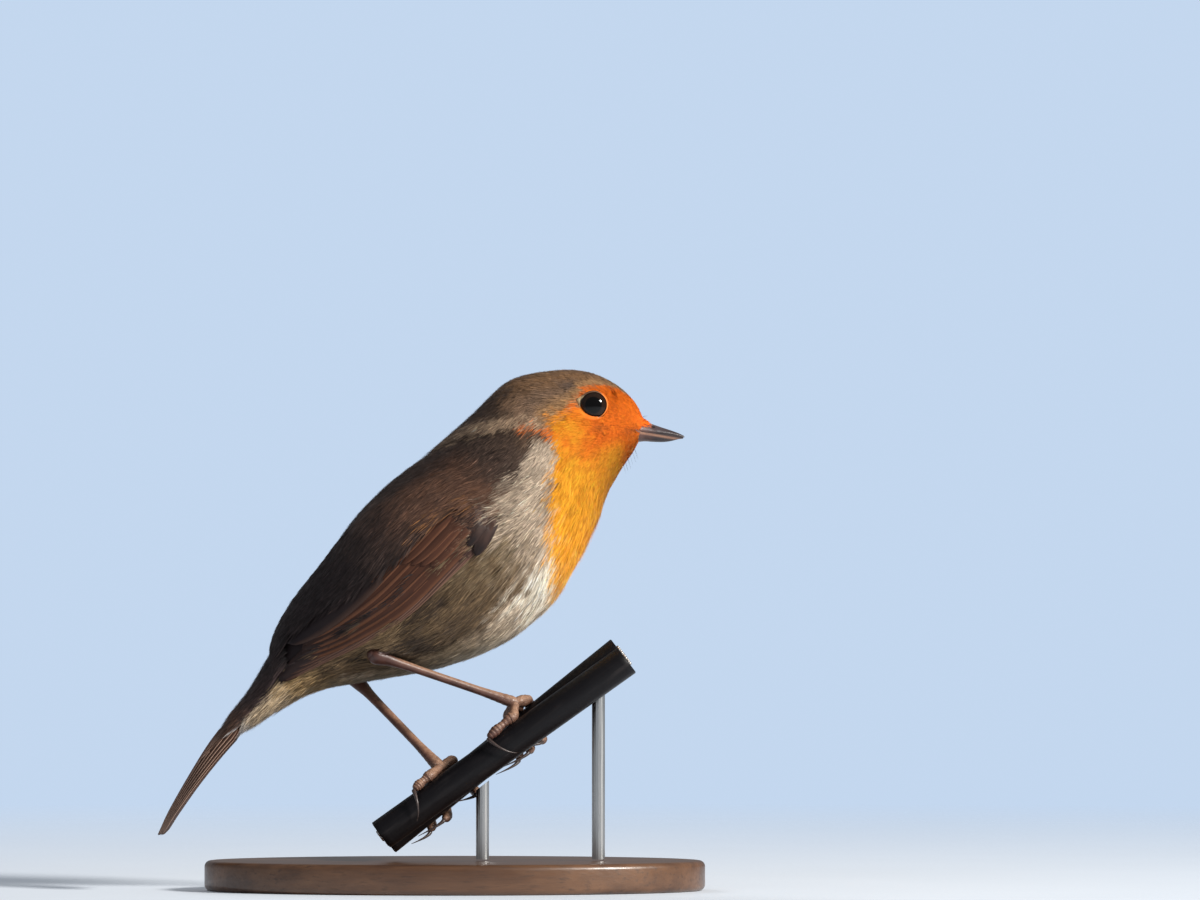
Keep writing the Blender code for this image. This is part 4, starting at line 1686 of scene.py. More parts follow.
        blur = table(t, (0, 0.02), (4, 0.05), (6, 0.10), (15, 0.16))[:, None]
        mark_t = 0.75 * at_t[:, :, 1] + 0.25 * at_t[:, :, 2] + blur * chance()
        mark_degrees = folded[:, :, 1] * 0.75 + folded[:, :, 2] * 0.25 + 22 * blur * chance()
        places = Places(mark_t.ravel(), mark_degrees.ravel(), points.reshape(-1, 3))
        colour = self.markings.colours(places).reshape(count, per, 3)
        on_bib = degrees < table(t, *self.markings.bib_edge)
        streaky = 0.12 + 0.20 * table(t, (0, 0.0), (5, 0.3), (6.2, 1.0), (12, 0.8), (15, 0.5))
        streaky = np.where(on_bib, 0.07, streaky)[:, None]
        tone = np.exp(draw.normal(0, 0.10, (count, 1)) + streaky * draw.normal(size=(count, per)))
        # darker roots: partly the feathers' own dark bases, partly painted shade where tufts overlap
        dark = self.root_tone(t, degrees, on_bib)[:, None, None]
        along = dark + (1.10 - dark) * np.array(self.shares) ** 0.8
        return np.clip((colour * tone[:, :, None])[:, :, None, :] * along[..., None], 0.002, 0.97)

    def root_tone(self, t: Array, degrees: Array, on_bib: Array) -> Array:
        """How dark the barbs are at their roots, against their tips: partly the feathers' dark bases, partly
        painted shade where the tufts overlap.
        """
        tone = np.where(on_bib, 0.90, 0.58)
        grey_band = 0.40 * step_up(5.4, 6.2, t) * step_up(9.4, 8.2, t)
        tone -= grey_band * step_up(28, 14, degrees) * step_up(-46, -30, degrees)
        tone -= 0.22 * step_up(8.5, 9.5, t) * step_up(-60, -30, degrees)
        tone -= 0.10 * step_up(20, 40, degrees)
        return tone

    def ledge(self, at_t: Array, degrees: Array, root_t: Array) -> Array:
        """The nape's feathers end a little proud of the shoulder's."""
        fold_t = table(degrees, *self.body.fold)
        past = at_t - fold_t
        from_nape = (root_t[:, None, None] < fold_t - 0.05).astype(float)
        side = step_up(8, 24, degrees) * (1 - 0.6 * step_up(50, 85, degrees))
        proud = 0.30 * from_nape * step_up(-0.8, -0.1, past)
        return side * (proud - 0.25 * (1 - from_nape) * step_up(0.8, 0.0, past))

    def clear_of_legs(self, centre: Array) -> Array:
        """Which barbs keep off the bare legs."""
        keep = np.ones(centre.shape[:2], bool)
        for leg in self.legs:
            heel = np.array(leg.heel)
            way = unit(Perch().foot(leg) - heel)
            off = centre - heel
            along = np.clip(off @ way, -0.6, 26.0)
            away = np.linalg.norm(off - along[..., None] * way, axis=-1)
            keep &= away.min(axis=-1) > self.clear_of_leg
        return keep

    def pieces(self) -> tuple[CoatPiece, ...]:
        """The coat's parts, in the order in which they take tufts.

        Returns:
            The parts; each takes what the ones before it have left.
        """

        def on_side(t: Array, degrees: Array) -> Array:
            """The side below the wing and in front of it."""
            return (t < 12.0) & (degrees > -48) & (degrees <= 14)

        return (
            CoatPiece("coat_face", Slot.ORANGE, lambda t, d, s: t < 3.0),
            CoatPiece("coat_crown", Slot.ORANGE, lambda t, d, s: (t < 5.9) & (d > 12)),
            CoatPiece("coat_cheeks_and_throat", Slot.ORANGE, lambda t, d, s: t < 5.3),
            CoatPiece("coat_bib", Slot.ORANGE, lambda t, d, s: (t < 8.8) & (d < -24)),
            CoatPiece("coat_mantle", Slot.PLUMAGE, lambda t, d, s: (t < 9.4) & (d > 14)),
            CoatPiece("coat_side_right", Slot.PLUMAGE, lambda t, d, s: on_side(t, d) & (s < 0)),
            CoatPiece("coat_side_left", Slot.PLUMAGE, lambda t, d, s: on_side(t, d)),
            CoatPiece("coat_back_and_rump", Slot.PLUMAGE, lambda t, d, s: d > 0),
            CoatPiece("coat_belly", Slot.PLUMAGE, lambda t, d, s: t < 12.0),
            CoatPiece("coat_undertail", Slot.PLUMAGE, lambda t, d, s: t >= 12.0),
        )

    def build(self, material: Material) -> None:
        """Builds every piece of the coat."""
        t, angle, side = self.roots()
        degrees = np.degrees(angle)
        off_eye = self.body.surface(t, angle)[0][:, [0, 2]] - self.eyes.middle
        taken = np.linalg.norm(off_eye, axis=1) <= self.eyes.clear - self.eyes.roots_inside
        for number, piece in enumerate(self.pieces()):
            mine = piece.takes(t, degrees, side) & ~taken
            taken |= mine
            draw = np.random.default_rng(self.seed + 100 + number)
            laid = self.strands(t[mine], angle[mine], side[mine], draw)
            keep = self.clear_of_legs(laid["centre"])
            laid = {key: value[keep] for key, value in laid.items()}
            enlist(barb_mesh(piece.name, laid, material))
            LOG.info("%s: %d tufts, %d triangles", piece.name, mine.sum(), 5 * len(laid["centre"]))


def barb_mesh(name: str, laid: dict[str, Array], material: Material) -> bpy.types.Object:
    """Joins many barbs in one mesh, each a narrow ribbon that ends in a point.

    Args:
        name: The piece's name.
        laid: Arrays of centre, normal, width, colour, u, v and tilt, one row for each barb.
        material: Its material.

    Returns:
        The object.
    """
    centre, width = laid["centre"], laid["width"]
    count, stations = centre.shape[:2]
    ways = unit(np.gradient(centre, axis=1))
    sides = unit(np.cross(laid["normal"], ways))
    right = centre - sides * width[..., None] / 2
    left = centre + sides * width[..., None] / 2
    per = 2 * (stations - 1) + 1
    verts = np.empty((count, per, 3))
    colours = np.ones((count, per, 4))
    maps = np.empty((count, per, 2))
    flat = np.stack((laid["u"], laid["v"]), axis=-1)
    for k in range(stations - 1):
        verts[:, 2 * k], verts[:, 2 * k + 1] = right[:, k], left[:, k]
        colours[:, 2 * k, :3] = colours[:, 2 * k + 1, :3] = laid["colour"][:, k]
        maps[:, 2 * k] = maps[:, 2 * k + 1] = flat[:, k]
    verts[:, -1], colours[:, -1, :3], maps[:, -1] = centre[:, -1], laid["colour"][:, -1], flat[:, -1]
    quads = [2 * k + corner for k in range(stations - 2) for corner in (0, 2, 3, 1)]
    face = np.array([*quads, per - 3, per - 1, per - 2])
    corners = (np.arange(count)[:, None] * per + face[None, :]).ravel().astype(np.int32)
    totals = np.tile(np.array([4] * (stations - 2) + [3], np.int32), count)
    starts = np.concatenate(([0], np.cumsum(totals)[:-1])).astype(np.int32)
    mesh = bpy.data.meshes.new(name)
    mesh.vertices.add(count * per)
    mesh.vertices.foreach_set("co", (verts * MM).astype(np.float32).ravel())
    mesh.loops.add(len(corners))
    mesh.loops.foreach_set("vertex_index", corners)
    mesh.polygons.add(len(totals))
    mesh.polygons.foreach_set("loop_start", starts)
    mesh.polygons.foreach_set("loop_total", totals)
    mesh.update(calc_edges=True)
    layer = mesh.uv_layers.new(name=BAKE_MAP)
    layer.uv.foreach_set("vector", maps.reshape(-1, 2)[corners].astype(np.float32).ravel())
    marks = mesh.color_attributes.new(MARKINGS, "FLOAT_COLOR", "POINT")
    marks.data.foreach_set("color", colours.astype(np.float32).ravel())
    mesh.materials.append(material)
    mesh.shade_smooth()
    upward, sideways = (np.repeat(array, 2, axis=1)[:, :per] for array in (laid["normal"], sides))
    soft = upward + laid["tilt"][:, None, None] * sideways
    mesh.normals_split_custom_set_from_vertices(unit(soft).reshape(-1, 3).astype(np.float32))
    return bpy.data.objects.new(name, mesh)


# ---------------------------------------------------------------- flight feathers


class VaneKind(Enum):
    """The kinds of stiff feather, each with its colours: web, outer edge and tip."""

    PRIMARY = ((0.036, 0.016, 0.012), (0.22, 0.115, 0.078), (0.013, 0.008, 0.009))
    SECONDARY = ((0.060, 0.021, 0.011), (0.125, 0.049, 0.024), (0.018, 0.009, 0.008))
    # tertials: near black, partly painted shade, as they lie in shadow under the mantle
    TERTIAL = ((0.019, 0.011, 0.011), (0.050, 0.026, 0.019), (0.011, 0.007, 0.009))
    GREATER = ((0.066, 0.024, 0.013), (0.125, 0.049, 0.025), (0.066, 0.024, 0.013))
    HAND = ((0.040, 0.020, 0.015), (0.030, 0.016, 0.013), (0.006, 0.004, 0.005))
    ALULA = ((0.050, 0.024, 0.017), (0.062, 0.031, 0.021), (0.022, 0.012, 0.010))
    TAIL = ((0.110, 0.055, 0.037), (0.42, 0.270, 0.20), (0.050, 0.028, 0.023))


@dataclass(frozen=True)
class Vane:
    """One stiff feather on the wing: root and tip as (t, degrees), half width and height."""

    kind: VaneKind
    root: tuple[float, float]
    tip: tuple[float, float]
    half_width: float
    layer: float
    bow: float = 0.0
    pointed: float = 0.6

    def outline(self, along: Array) -> Array:
        """The half width's share along the feather."""
        grow = np.clip(along / 0.10, 0, 1) ** 0.5
        end = np.clip((along - self.pointed) / (1 - self.pointed), 0, 1)
        return grow * np.sqrt(np.clip(1 - end**2, 0, 1)) + 0.004


@dataclass
class FlightFeathers:
    """Shared making of stiff feathers: a bent grid each, coloured and mapped."""

    across: int = 8
    along: int = 26
    thickness: float = 0.09
    columns: int = 8
    placed: int = field(default=0, init=False)

    def columns_at(self, across: Array) -> Array:
        """Shares across a vane as -1 to 1, closer together near the edges."""
        centred = 2 * across - 1
        return np.sign(centred) * (1 - (1 - np.abs(centred)) ** 1.35)

    def colour(self, kind: VaneKind, c: Array, along: Array, draw: np.random.Generator) -> Array:
        """A vane's colours: dark by the shaft, paler at the outer edge, changed at the tip."""
        web, edge, tip = kind.value
        tone = math.exp(draw.normal(0, 0.10))
        out = np.tile(np.array(web), (len(c), 1)) * tone
        end = step_up(0.60, 0.85, along) if kind is VaneKind.HAND else step_up(0.45, 1.0, along)
        out = blend_to(out, tip, end * 0.85)
        out = blend_to(out, np.array(web) * 0.45, 0.6 * hump(c, 0.0, 0.12))
        out = blend_to(out, np.array(web) * 0.6, 0.5 * step_up(0.0, -0.8, c))
        fringe = 0.80 if kind in (VaneKind.PRIMARY, VaneKind.TAIL) else 0.62
        outer = step_up(fringe, fringe + 0.17, c) * step_up(0.06, 0.2, along) * step_up(1.02, 0.9, along)
        return blend_to(out, edge, outer)

    def add(
        self,
        bm: Mesh,
        shape: Shape,
        kind: VaneKind,
        size: tuple[float, float],
        draw: np.random.Generator,
    ) -> None:
        """Adds one vane.

        Args:
            bm: The mesh.
            shape: Gives places for c, from -1 to 1 with 1 at the outer edge, and shares along.
            kind: Its kind.
            size: Its half width and length, for the map of its barbs.
            draw: The source of chance.
        """
        verts, across, along = bent_grid(
            bm, self.across, self.along, lambda u, v: shape(self.columns_at(u), v)
        )
        c = self.columns_at(across)
        paint(bm, verts, self.colour(kind, c, along, draw))
        write_map(bm, VANE_MAP, verts, c * size[0], along * size[1])
        column, row = self.placed % self.columns, self.placed // self.columns
        cell = 1.0 / self.columns
        across, along = (column + 0.06 + 0.88 * across) * cell, (row + 0.06 + 0.88 * along) * cell
        write_map(bm, BAKE_MAP, verts, across, along)
        self.placed += 1

    def finish(self, bm: Mesh, name: str, material: Material) -> bpy.types.Object:
        """Makes the object, with a thin wall."""
        obj = object_from(bm, name, material)
        wall = obj.modifiers.new("wall", "SOLIDIFY")
        wall.thickness = self.thickness * MM
        wall.offset = -1.0
        return obj


@dataclass
class WingFeathers(FlightFeathers):
    """The stiff feathers of one folded wing over a plain shell."""

    body: BodyForm = field(default_factory=BodyForm)
    wing: WingForm | None = None
    side: Side = Side.RIGHT
    seed: int = 31
    sunk: float = 0.62
    primary_tips: tuple[tuple[float, float], ...] = (
        (12.30, 6.0), (12.75, 5.0), (13.05, 4.6), (13.30, 5.5), (13.28, 8.5), (13.02, 11.0), (12.7, 13.5),
    )

    def vanes(self) -> list[Vane]:
        """Plans the wing.

        Returns:
            Every vane, the lowest and undermost first.
        """
        kind = VaneKind
        made = [
            Vane(kind.PRIMARY, (8.0 + 0.06 * i, -5 + 2.4 * i), tip, 1.7 + 0.1 * i, 0.05 + 0.11 * i, 1.2, 0.55)
            for i, tip in enumerate(self.primary_tips)
        ]
        made += [
            Vane(
                kind.SECONDARY, (8.1, 1 + 3.9 * i), (12.35 - 0.13 * i, 15 + 4.4 * i), 1.9, 0.85 + 0.10 * i,
                -1.5, 0.74,
            )
            for i in range(7)
        ]
        made += [
            Vane(
                kind.TERTIAL, (8.2 - 0.1 * i, 27 + 8 * i), (12.15 - 0.5 * i, 41 + 9 * i), 3.3,
                1.55 + 0.14 * i, -2.0, 0.62,
            )
            for i in range(3)
        ]
        made += [
            Vane(
                kind.GREATER, (7.5 + 0.02 * i, 4 + 3.6 * i), (9.15 + 0.06 * i, 6.0 + 4.3 * i), 1.35,
                1.55 + 0.07 * i, pointed=0.7,
            )
            for i in range(6)
        ]
        made += [
            Vane(
                kind.HAND, (7.55, -1 + 3.0 * i), (8.62 - 0.12 * i, -8.5 + 6.6 * i), 1.75, 1.7 + 0.08 * i,
                pointed=0.35,
            )
            for i in range(4)
        ]
        made += [
            Vane(
                kind.ALULA, (7.5, 1 + 2.8 * i), (8.22 - 0.05 * i, -5.5 + 5.6 * i), 1.5, 2.0 + 0.08 * i,
                pointed=0.35,
            )
            for i in range(3)
        ]
        return made

    def shell(self, across: Array, along: Array) -> Array:
        """The plain shape under the vanes.

        Args:
            across: Shares from the lower edge to the upper.
            along: Shares from front to tip.

        Returns:
            Places in millimetres.
        """
        t = self.wing.start + 0.12 + (self.wing.end - self.wing.start - 0.16) * along
        low, high = self.wing.edge(self.wing.lower_edge, t), self.wing.edge(self.wing.upper_edge, t)
        degrees = low + 0.8 + (high - low - 0.8) * across
        height = self.wing.height(t, degrees) * self.sunk - 0.25
        point, _ = self.body.surface(t, np.radians(degrees), np.maximum(height, -0.6))
        point[:, 1] *= self.side.value
        return point

    def place(self, vane: Vane, more_bow: float, c: Array, along: Array) -> Array:
        """Where a vane's points are.

        Args:
            vane: The vane.
            more_bow: What chance adds to its bow, in degrees.
            c: From -1 to 1 across it, with 1 at the outer edge.
            along: Shares along it.

        Returns:
            Places in millimetres.
        """
        t = vane.root[0] + (vane.tip[0] - vane.root[0]) * along
        degrees = vane.root[1] + (vane.tip[1] - vane.root[1]) * along
        degrees = degrees + (vane.bow + more_bow) * np.sin(math.pi * along)
        angle = np.radians(degrees)
        _, _, t_cross, a_cross = self.body.reach(t, angle)
        aside = -c * vane.half_width * vane.outline(along)
        at_t, at_angle = t + t_cross * aside, angle + a_cross * aside
        taper = (1 - 0.55 * along) * (0.08 + 0.92 * step_up(0.05, 0.50, along))
        height = self.sunk * self.wing.height(at_t, np.degrees(at_angle)) + vane.layer * taper * self.sunk
        height = height + 0.06 * hump(c, 0.0, 0.10) - 0.16 * np.maximum(-c, 0) - 0.05
        point, _ = self.body.surface(at_t, at_angle, height)
        point[:, 1] *= self.side.value
        return point

    def build(self, material: Material) -> None:
        """Builds the wing."""
        draw = np.random.default_rng(self.seed)
        bm = fresh_mesh(painted=True, maps=(BAKE_MAP, VANE_MAP))
        self.add(bm, lambda c, v: self.shell((c + 1) / 2, v), VaneKind.TERTIAL, (10.0, 50.0), draw)
        for vane in self.vanes():
            shape = partial(self.place, vane, draw.normal(0, 0.4))
            length = (vane.tip[0] - vane.root[0]) * 8.0
            self.add(bm, shape, vane.kind, (vane.half_width, length), draw)
        if self.side is Side.LEFT:
            bmesh.ops.reverse_faces(bm, faces=bm.faces)
        obj = self.finish(bm, f"wing_feathers_{self.side.word}", material)
        enlist(obj, [f"wing_{self.side.word}"])


@dataclass
class TailFeathers(FlightFeathers):
    """The twelve tail feathers, closed in one stack."""

    tail: TailForm = field(default_factory=TailForm)
    pairs: int = 6
    seed: int = 47

    def place(self, feather: Vane, side: Side, pair: int, c: Array, v: Array) -> Array:
        """Where a feather's points are.

        Args:
            feather: Its outline, with its tip's station.
            side: Its side.
            pair: How many pairs lie between it and the middle.
            c: From -1 to 1 across it, with 1 at the outer edge.
            v: Shares along it.

        Returns:
            Places in millimetres.
        """
        rooted = step_up(0.16, 0.0, v)
        centre = side.value * (0.13 + 0.132 * pair)
        across = np.clip(centre + side.value * c * feather.half_width * feather.outline(v), -1.02, 1.02)
        raised = feather.layer - 0.06 * hump(c, 0, 0.12) + 0.12 * np.maximum(-c, 0)
        raised = raised * (1 - rooted) + (0.85 + 0.1 * feather.layer) * rooted
        s = feather.root[0] + (feather.tip[0] - feather.root[0]) * v
        return self.tail.surface(s, across * (1 - 0.35 * rooted), raised * (1 - 0.25 * v))

    def build(self, material: Material) -> None:
        """Builds the tail."""
        draw = np.random.default_rng(self.seed)
        bm = fresh_mesh(painted=True, maps=(BAKE_MAP, VANE_MAP))
        for pair in reversed(range(self.pairs)):
            for side in Side:
                tip = 5.02 - 0.05 * pair - draw.uniform(0, 0.34)
                layer = pair / self.pairs + (0.05 if side is Side.LEFT else 0.0)
                feather = Vane(VaneKind.TAIL, (-0.22, 0), (tip, 0), 0.30, layer, pointed=0.60)
                shape = partial(self.place, feather, side, pair)
                self.add(bm, shape, VaneKind.TAIL, (feather.half_width * 7, 29.0), draw)
        bmesh.ops.recalc_face_normals(bm, faces=bm.faces)
        enlist(self.finish(bm, "tail_feathers", material), ["tail"])


# ---------------------------------------------------------------- head details


@dataclass(frozen=True)
class Bill:
    """The closed bill: rings of x, ridge, meeting edge, underside and half width."""

    rings: tuple[tuple[float, float, float, float, float], ...] = (
        (36.6, 93.95, 91.75, 89.6, 2.7),
        (37.9, 93.6, 91.6, 89.75, 2.3),
        (39.6, 93.1, 91.4, 89.65, 1.9),
        (41.5, 92.45, 91.25, 89.6, 1.45),
        (43.2, 91.9, 91.1, 89.8, 1.0),
        (44.8, 91.3, 90.85, 90.2, 0.55),
        (45.9, 90.75, 90.5, 90.3, 0.25),
    )
    gap: float = 0.05
    around: int = 40
    along: int = 60

    def half(self, upper: bool) -> Shape:
        """The surface of one half."""
        rows = np.array(self.rings)

        def shape(around: Array, along: Array) -> Array:
            """Round the half, and out along it."""
            stop = len(rows) - 1 if upper else len(rows) - 1.25
            row = catmull_rom(rows, along * stop)
            turn = 2 * math.pi * around
            close = np.sqrt(np.clip(1 - np.clip((along - 0.96) / 0.04, 0, 1) ** 2, 0, 1))
            side, up = np.cos(turn), np.sin(turn)
            tall = (row[:, 1] - row[:, 2]) if upper else (row[:, 2] - row[:, 3])
            foot = row[:, 2] + (self.gap if upper else -self.gap) / 2
            arch = np.where(up > 0, tall * np.abs(up) ** 0.9, -0.12 * tall * np.abs(up))
            z = foot + (arch if upper else -arch) * close
            wide = row[:, 4] * (1.0 if upper else 0.93)
            pinch = 1 - 0.10 * np.maximum(up, 0) ** 2
            y = wide * side * pinch * close
            x = row[:, 0]
            if upper:
                hole = hump(x, 39.6, 0.55) * hump(z, 92.55, 0.28)
                y = y * (1 - 0.16 * hole)
            return np.stack((x, y, z), axis=1)

        return shape

    def build(self, material: Material) -> None:
        """Builds both halves."""
        for word, upper in (("upper", True), ("lower", False)):
            bm = fresh_mesh()
            verts, _, _ = bent_grid(bm, self.around, self.along, self.half(upper))
            close_up(bm, verts, 1e-3)
            enlist(object_from(bm, f"bill_{word}_horn", material), [f"bill_{word}"])


@dataclass(frozen=True)
class Gape:
    """The fleshy corner of the mouth, which runs back along the face from the bill."""

    body: BodyForm
    radius: float = 0.2
    end: float = 0.85

    def build(self, material: Material) -> None:
        """Builds both corners in one piece."""
        bm = fresh_mesh()
        for side in Side:
            t = np.linspace(0.0, self.end, 24)
            degrees = table(t, (0, -20), (0.5, -13), (self.end, -7))
            path, _ = self.body.surface(t, np.radians(degrees), -0.27)
            path[:, 1] *= side.value
            radii = self.radius * np.sin(np.linspace(0.35, 1, 24) * math.pi) ** 0.5 + 0.01
            Tube(path, radii, 10).add_to(bm)
        bmesh.ops.recalc_face_normals(bm, faces=bm.faces)
        enlist(object_from(bm, "bill_gape", material))


@dataclass(frozen=True)
class Bristles:
    """The dark hairs over the bill's base and the finer ones under the chin."""

    seed: int = 5

    def build(self, material: Material) -> None:
        """Builds them in one piece."""
        draw = np.random.default_rng(self.seed)
        bm = fresh_mesh()
        for side in Side:
            for i in range(5):
                root = np.array((36.7 - 0.25 * i, side.value * (0.9 + 0.40 * i), 94.3 - 0.45 * i))
                outward = side.value * (0.12 + 0.1 * draw.random())
                way = np.array((1.0, outward, 0.35 - 0.16 * i + 0.2 * draw.random()))
                self.hair(bm, root, unit(way), 1.8 + 0.8 * draw.random(), 0.030)
            for i in range(6):
                root = np.array((35.9 - 0.5 * i, side.value * (0.5 + 0.5 * i), 88.2 - 0.5 * i))
                way = np.array((0.35, side.value * 0.2, -0.95 + 0.3 * draw.random()))
                self.hair(bm, root, unit(way), 1.4 + 0.8 * draw.random(), 0.018)
        bmesh.ops.recalc_face_normals(bm, faces=bm.faces)
        enlist(object_from(bm, "bill_bristles", material))

    def hair(self, bm: Mesh, root: Array, way: Array, length: float, radius: float) -> None:
        """Adds one curved hair."""
        share = np.linspace(0, 1, 7)[:, None]
        path = root + way * length * share - np.array((0, 0, 0.5)) * share**2
        Tube(path, radius * (1 - share[:, 0]) ** 0.7 + 0.004, 5).add_to(bm)


@dataclass(frozen=True)
class EyePieces:
    """The eyeballs, and the bare rims round them."""

    eyes: Eyes
    rim_height: float = 0.34
    pale: Colour = (0.72, 0.50, 0.26)
    orange: Colour = (0.80, 0.20, 0.02)
    olive: Colour = (0.14, 0.070, 0.035)
    inner: Colour = (0.015, 0.010, 0.008)

    def ball(self, side: Side, material: Material) -> None:
        """Builds one eyeball."""
        bm = fresh_mesh()
        bmesh.ops.create_uvsphere(bm, u_segments=64, v_segments=40, radius=self.eyes.radius - 0.01)
        centre = self.eyes.centre
        to_y = Matrix.Rotation(math.pi / 2, 3, "X")
        bmesh.ops.rotate(bm, verts=bm.verts, cent=(0, 0, 0), matrix=to_y)
        bmesh.ops.translate(bm, verts=bm.verts, vec=(centre.x, side.value * centre.y, centre.z))
        enlist(object_from(bm, f"eyeball_{side.word}", material), [f"eye_{side.word}"])

    def rim(self, side: Side, material: Material) -> None:
        """Builds one rim: pale behind and below, orange in front, pointed at the rear corner."""
        bm = fresh_mesh(painted=True, maps=(BAKE_MAP,))
        centre, radius = self.eyes.centre, self.eyes.radius

        def shape(across: Array, around: Array) -> Array:
            """Out over the rim and round the eye."""
            turn = 2 * math.pi * around
            behind = hump((np.degrees(turn) - self.eyes.corner + 180) % 360 - 180, 0, 12)
            inner = self.eyes.opening + 0.05 * np.cos(2 * (turn - 0.5))
            outer = inner + 0.50 + 0.9 * behind
            off = inner + (outer - inner) * across
            ball_y = centre.y + np.sqrt(np.maximum(radius**2 - np.minimum(off, radius) ** 2, 0))
            bulge = self.rim_height * np.sin(np.clip(across * 1.25, 0, 1) * math.pi) ** 0.8
            skin_y = self.eyes.rim_level + 0.12 - 0.20 * (off - 2.6)
            y = np.where(across < 0.5, ball_y, np.minimum(ball_y, skin_y))
            y = np.maximum(y, skin_y - 0.5 * across) + bulge + 0.02 * np.sin(turn * 34)
            y = np.where(across >= 0.999, skin_y - 1.2, y)
            x, z = centre.x + off * np.cos(turn), centre.z + off * np.sin(turn)
            return np.stack((x, side.value * y, z), axis=1)

        verts, across, around = bent_grid(bm, 12, 120, shape)
        degrees = 360 * around
        paint(bm, verts, layered(
            self.olive,
            (self.pale, step_up(128, 146, degrees) * step_up(318, 285, degrees)),
            (self.orange, step_up(285, 318, degrees) + step_up(75, 35, degrees)),
            (self.inner, step_up(0.26, 0.10, across)),
        ))
        write_map(bm, BAKE_MAP, verts, 0.05 + 0.9 * across, 0.05 + 0.9 * around)
        bmesh.ops.remove_doubles(bm, verts=verts, dist=1e-4)
        outward_faces(bm, Vector((0, side.value, 0)))
        enlist(object_from(bm, f"eye_rim_{side.word}", material))


def outward_faces(bm: Mesh, way: Vector) -> None:
    """Turns an open sheet over if most of it faces against a direction."""
    bm.normal_update()
    if sum(f.normal.dot(way) * f.calc_area() for f in bm.faces) < 0:
        bmesh.ops.reverse_faces(bm, faces=bm.faces)


# ---------------------------------------------------------------- legs, perch and stand


@dataclass(frozen=True)
class Perch:
    """The cut length of twin cable, with metal cores in its ends."""

    radius: float = 3.1
    spread: float = 3.3
    middle: tuple[float, float, float] = (5.0, -3.8, 25.1)
    slope: float = 37.2
    pitch: float = 680.0
    low_end: float = -24.0
    high_end: float = 36.0

    @property
    def axes(self) -> tuple[Array, Array, Array]:
        """Unit vectors along the cable, up from it, and away from the near side."""
        a = math.radians(self.slope)
        return (
            np.array((math.cos(a), 0.0, math.sin(a))),
            np.array((-math.sin(a), 0.0, math.cos(a))),
            np.array((0.0, 1.0, 0.0)),
        )

    def strand(self, which: str, s: float) -> Array:
        """A strand's axis at a distance up the cable."""
        along, up, away = self.axes
        turn = 2 * math.pi * s / self.pitch
        sign = 1 if which == "far" else -1
        out = (away * math.cos(turn) + up * math.sin(turn)) * self.spread * sign
        return np.array(self.middle) + along * s + out

    def round_strand(self, which: str, s: float, degrees: float, height: float) -> Array:
        """A point over a strand's axis, at an angle from the top towards the far side."""
        _, up, away = self.axes
        angle = math.radians(degrees)
        return self.strand(which, s) + (up * math.cos(angle) + away * math.sin(angle)) * height

    def foot(self, leg: LegPlan) -> Array:
        """The ball of a foot."""
        along, up, _ = self.axes
        return np.array(self.middle) + along * leg.foot + up * leg.lift

    def build(self, insulation: Material, metal: Material) -> None:
        """Builds the strands and the cores in their cut ends."""
        for which in ("near", "far"):
            bm = fresh_mesh()
            s = np.linspace(self.low_end, self.high_end, 48)
            s = np.concatenate(([s[0]] * 3, s, [s[-1]] * 3))
            radii = np.full(len(s), self.radius)
            radii[:3] = (0.01, 1.4, self.radius - 0.18)
            radii[-3:] = (self.radius - 0.18, 1.4, 0.01)
            s[3] += 0.18
            s[-4] -= 0.18
            path = np.array([self.strand(which, float(v)) for v in s])
            self.sleeve(bm, path, radii)
            strand = object_from(bm, f"cable_strand_{which}", insulation)
            enlist(strand, [f"perch_strand_{which}"])
        bm = fresh_mesh()
        along, up, away = self.axes
        for which in ("near", "far"):
            for s, sign in ((self.low_end, -1), (self.high_end, 1)):
                for k in range(7):
                    off = 0.0 if k == 0 else 0.86
                    turn = k * math.pi / 3
                    centre = self.strand(which, s) + (up * math.cos(turn) + away * math.sin(turn)) * off
                    path = centre + along * sign * np.array((-0.5, -0.3, 0.25, 0.38, 0.42))[:, None]
                    self.sleeve(bm, path, np.array((0.01, 0.40, 0.40, 0.28, 0.01)), 12)
        enlist(object_from(bm, "cable_cores", metal))

    def sleeve(self, bm: Mesh, path: Array, radii: Array, around: int = 40) -> None:
        """Adds a straight round piece, whose points may share a place."""
        _, up, away = self.axes
        count = len(path)

        def wrap(around_share: Array, along_share: Array) -> Array:
            """The surface."""
            k = np.rint(along_share * (count - 1)).astype(int)
            turn = 2 * math.pi * around_share
            ring = up * np.cos(turn)[:, None] + away * np.sin(turn)[:, None]
            return path[k] + ring * radii[k][:, None]

        verts, _, _ = bent_grid(bm, around, count - 1, wrap)
        close_up(bm, verts, 2e-3)


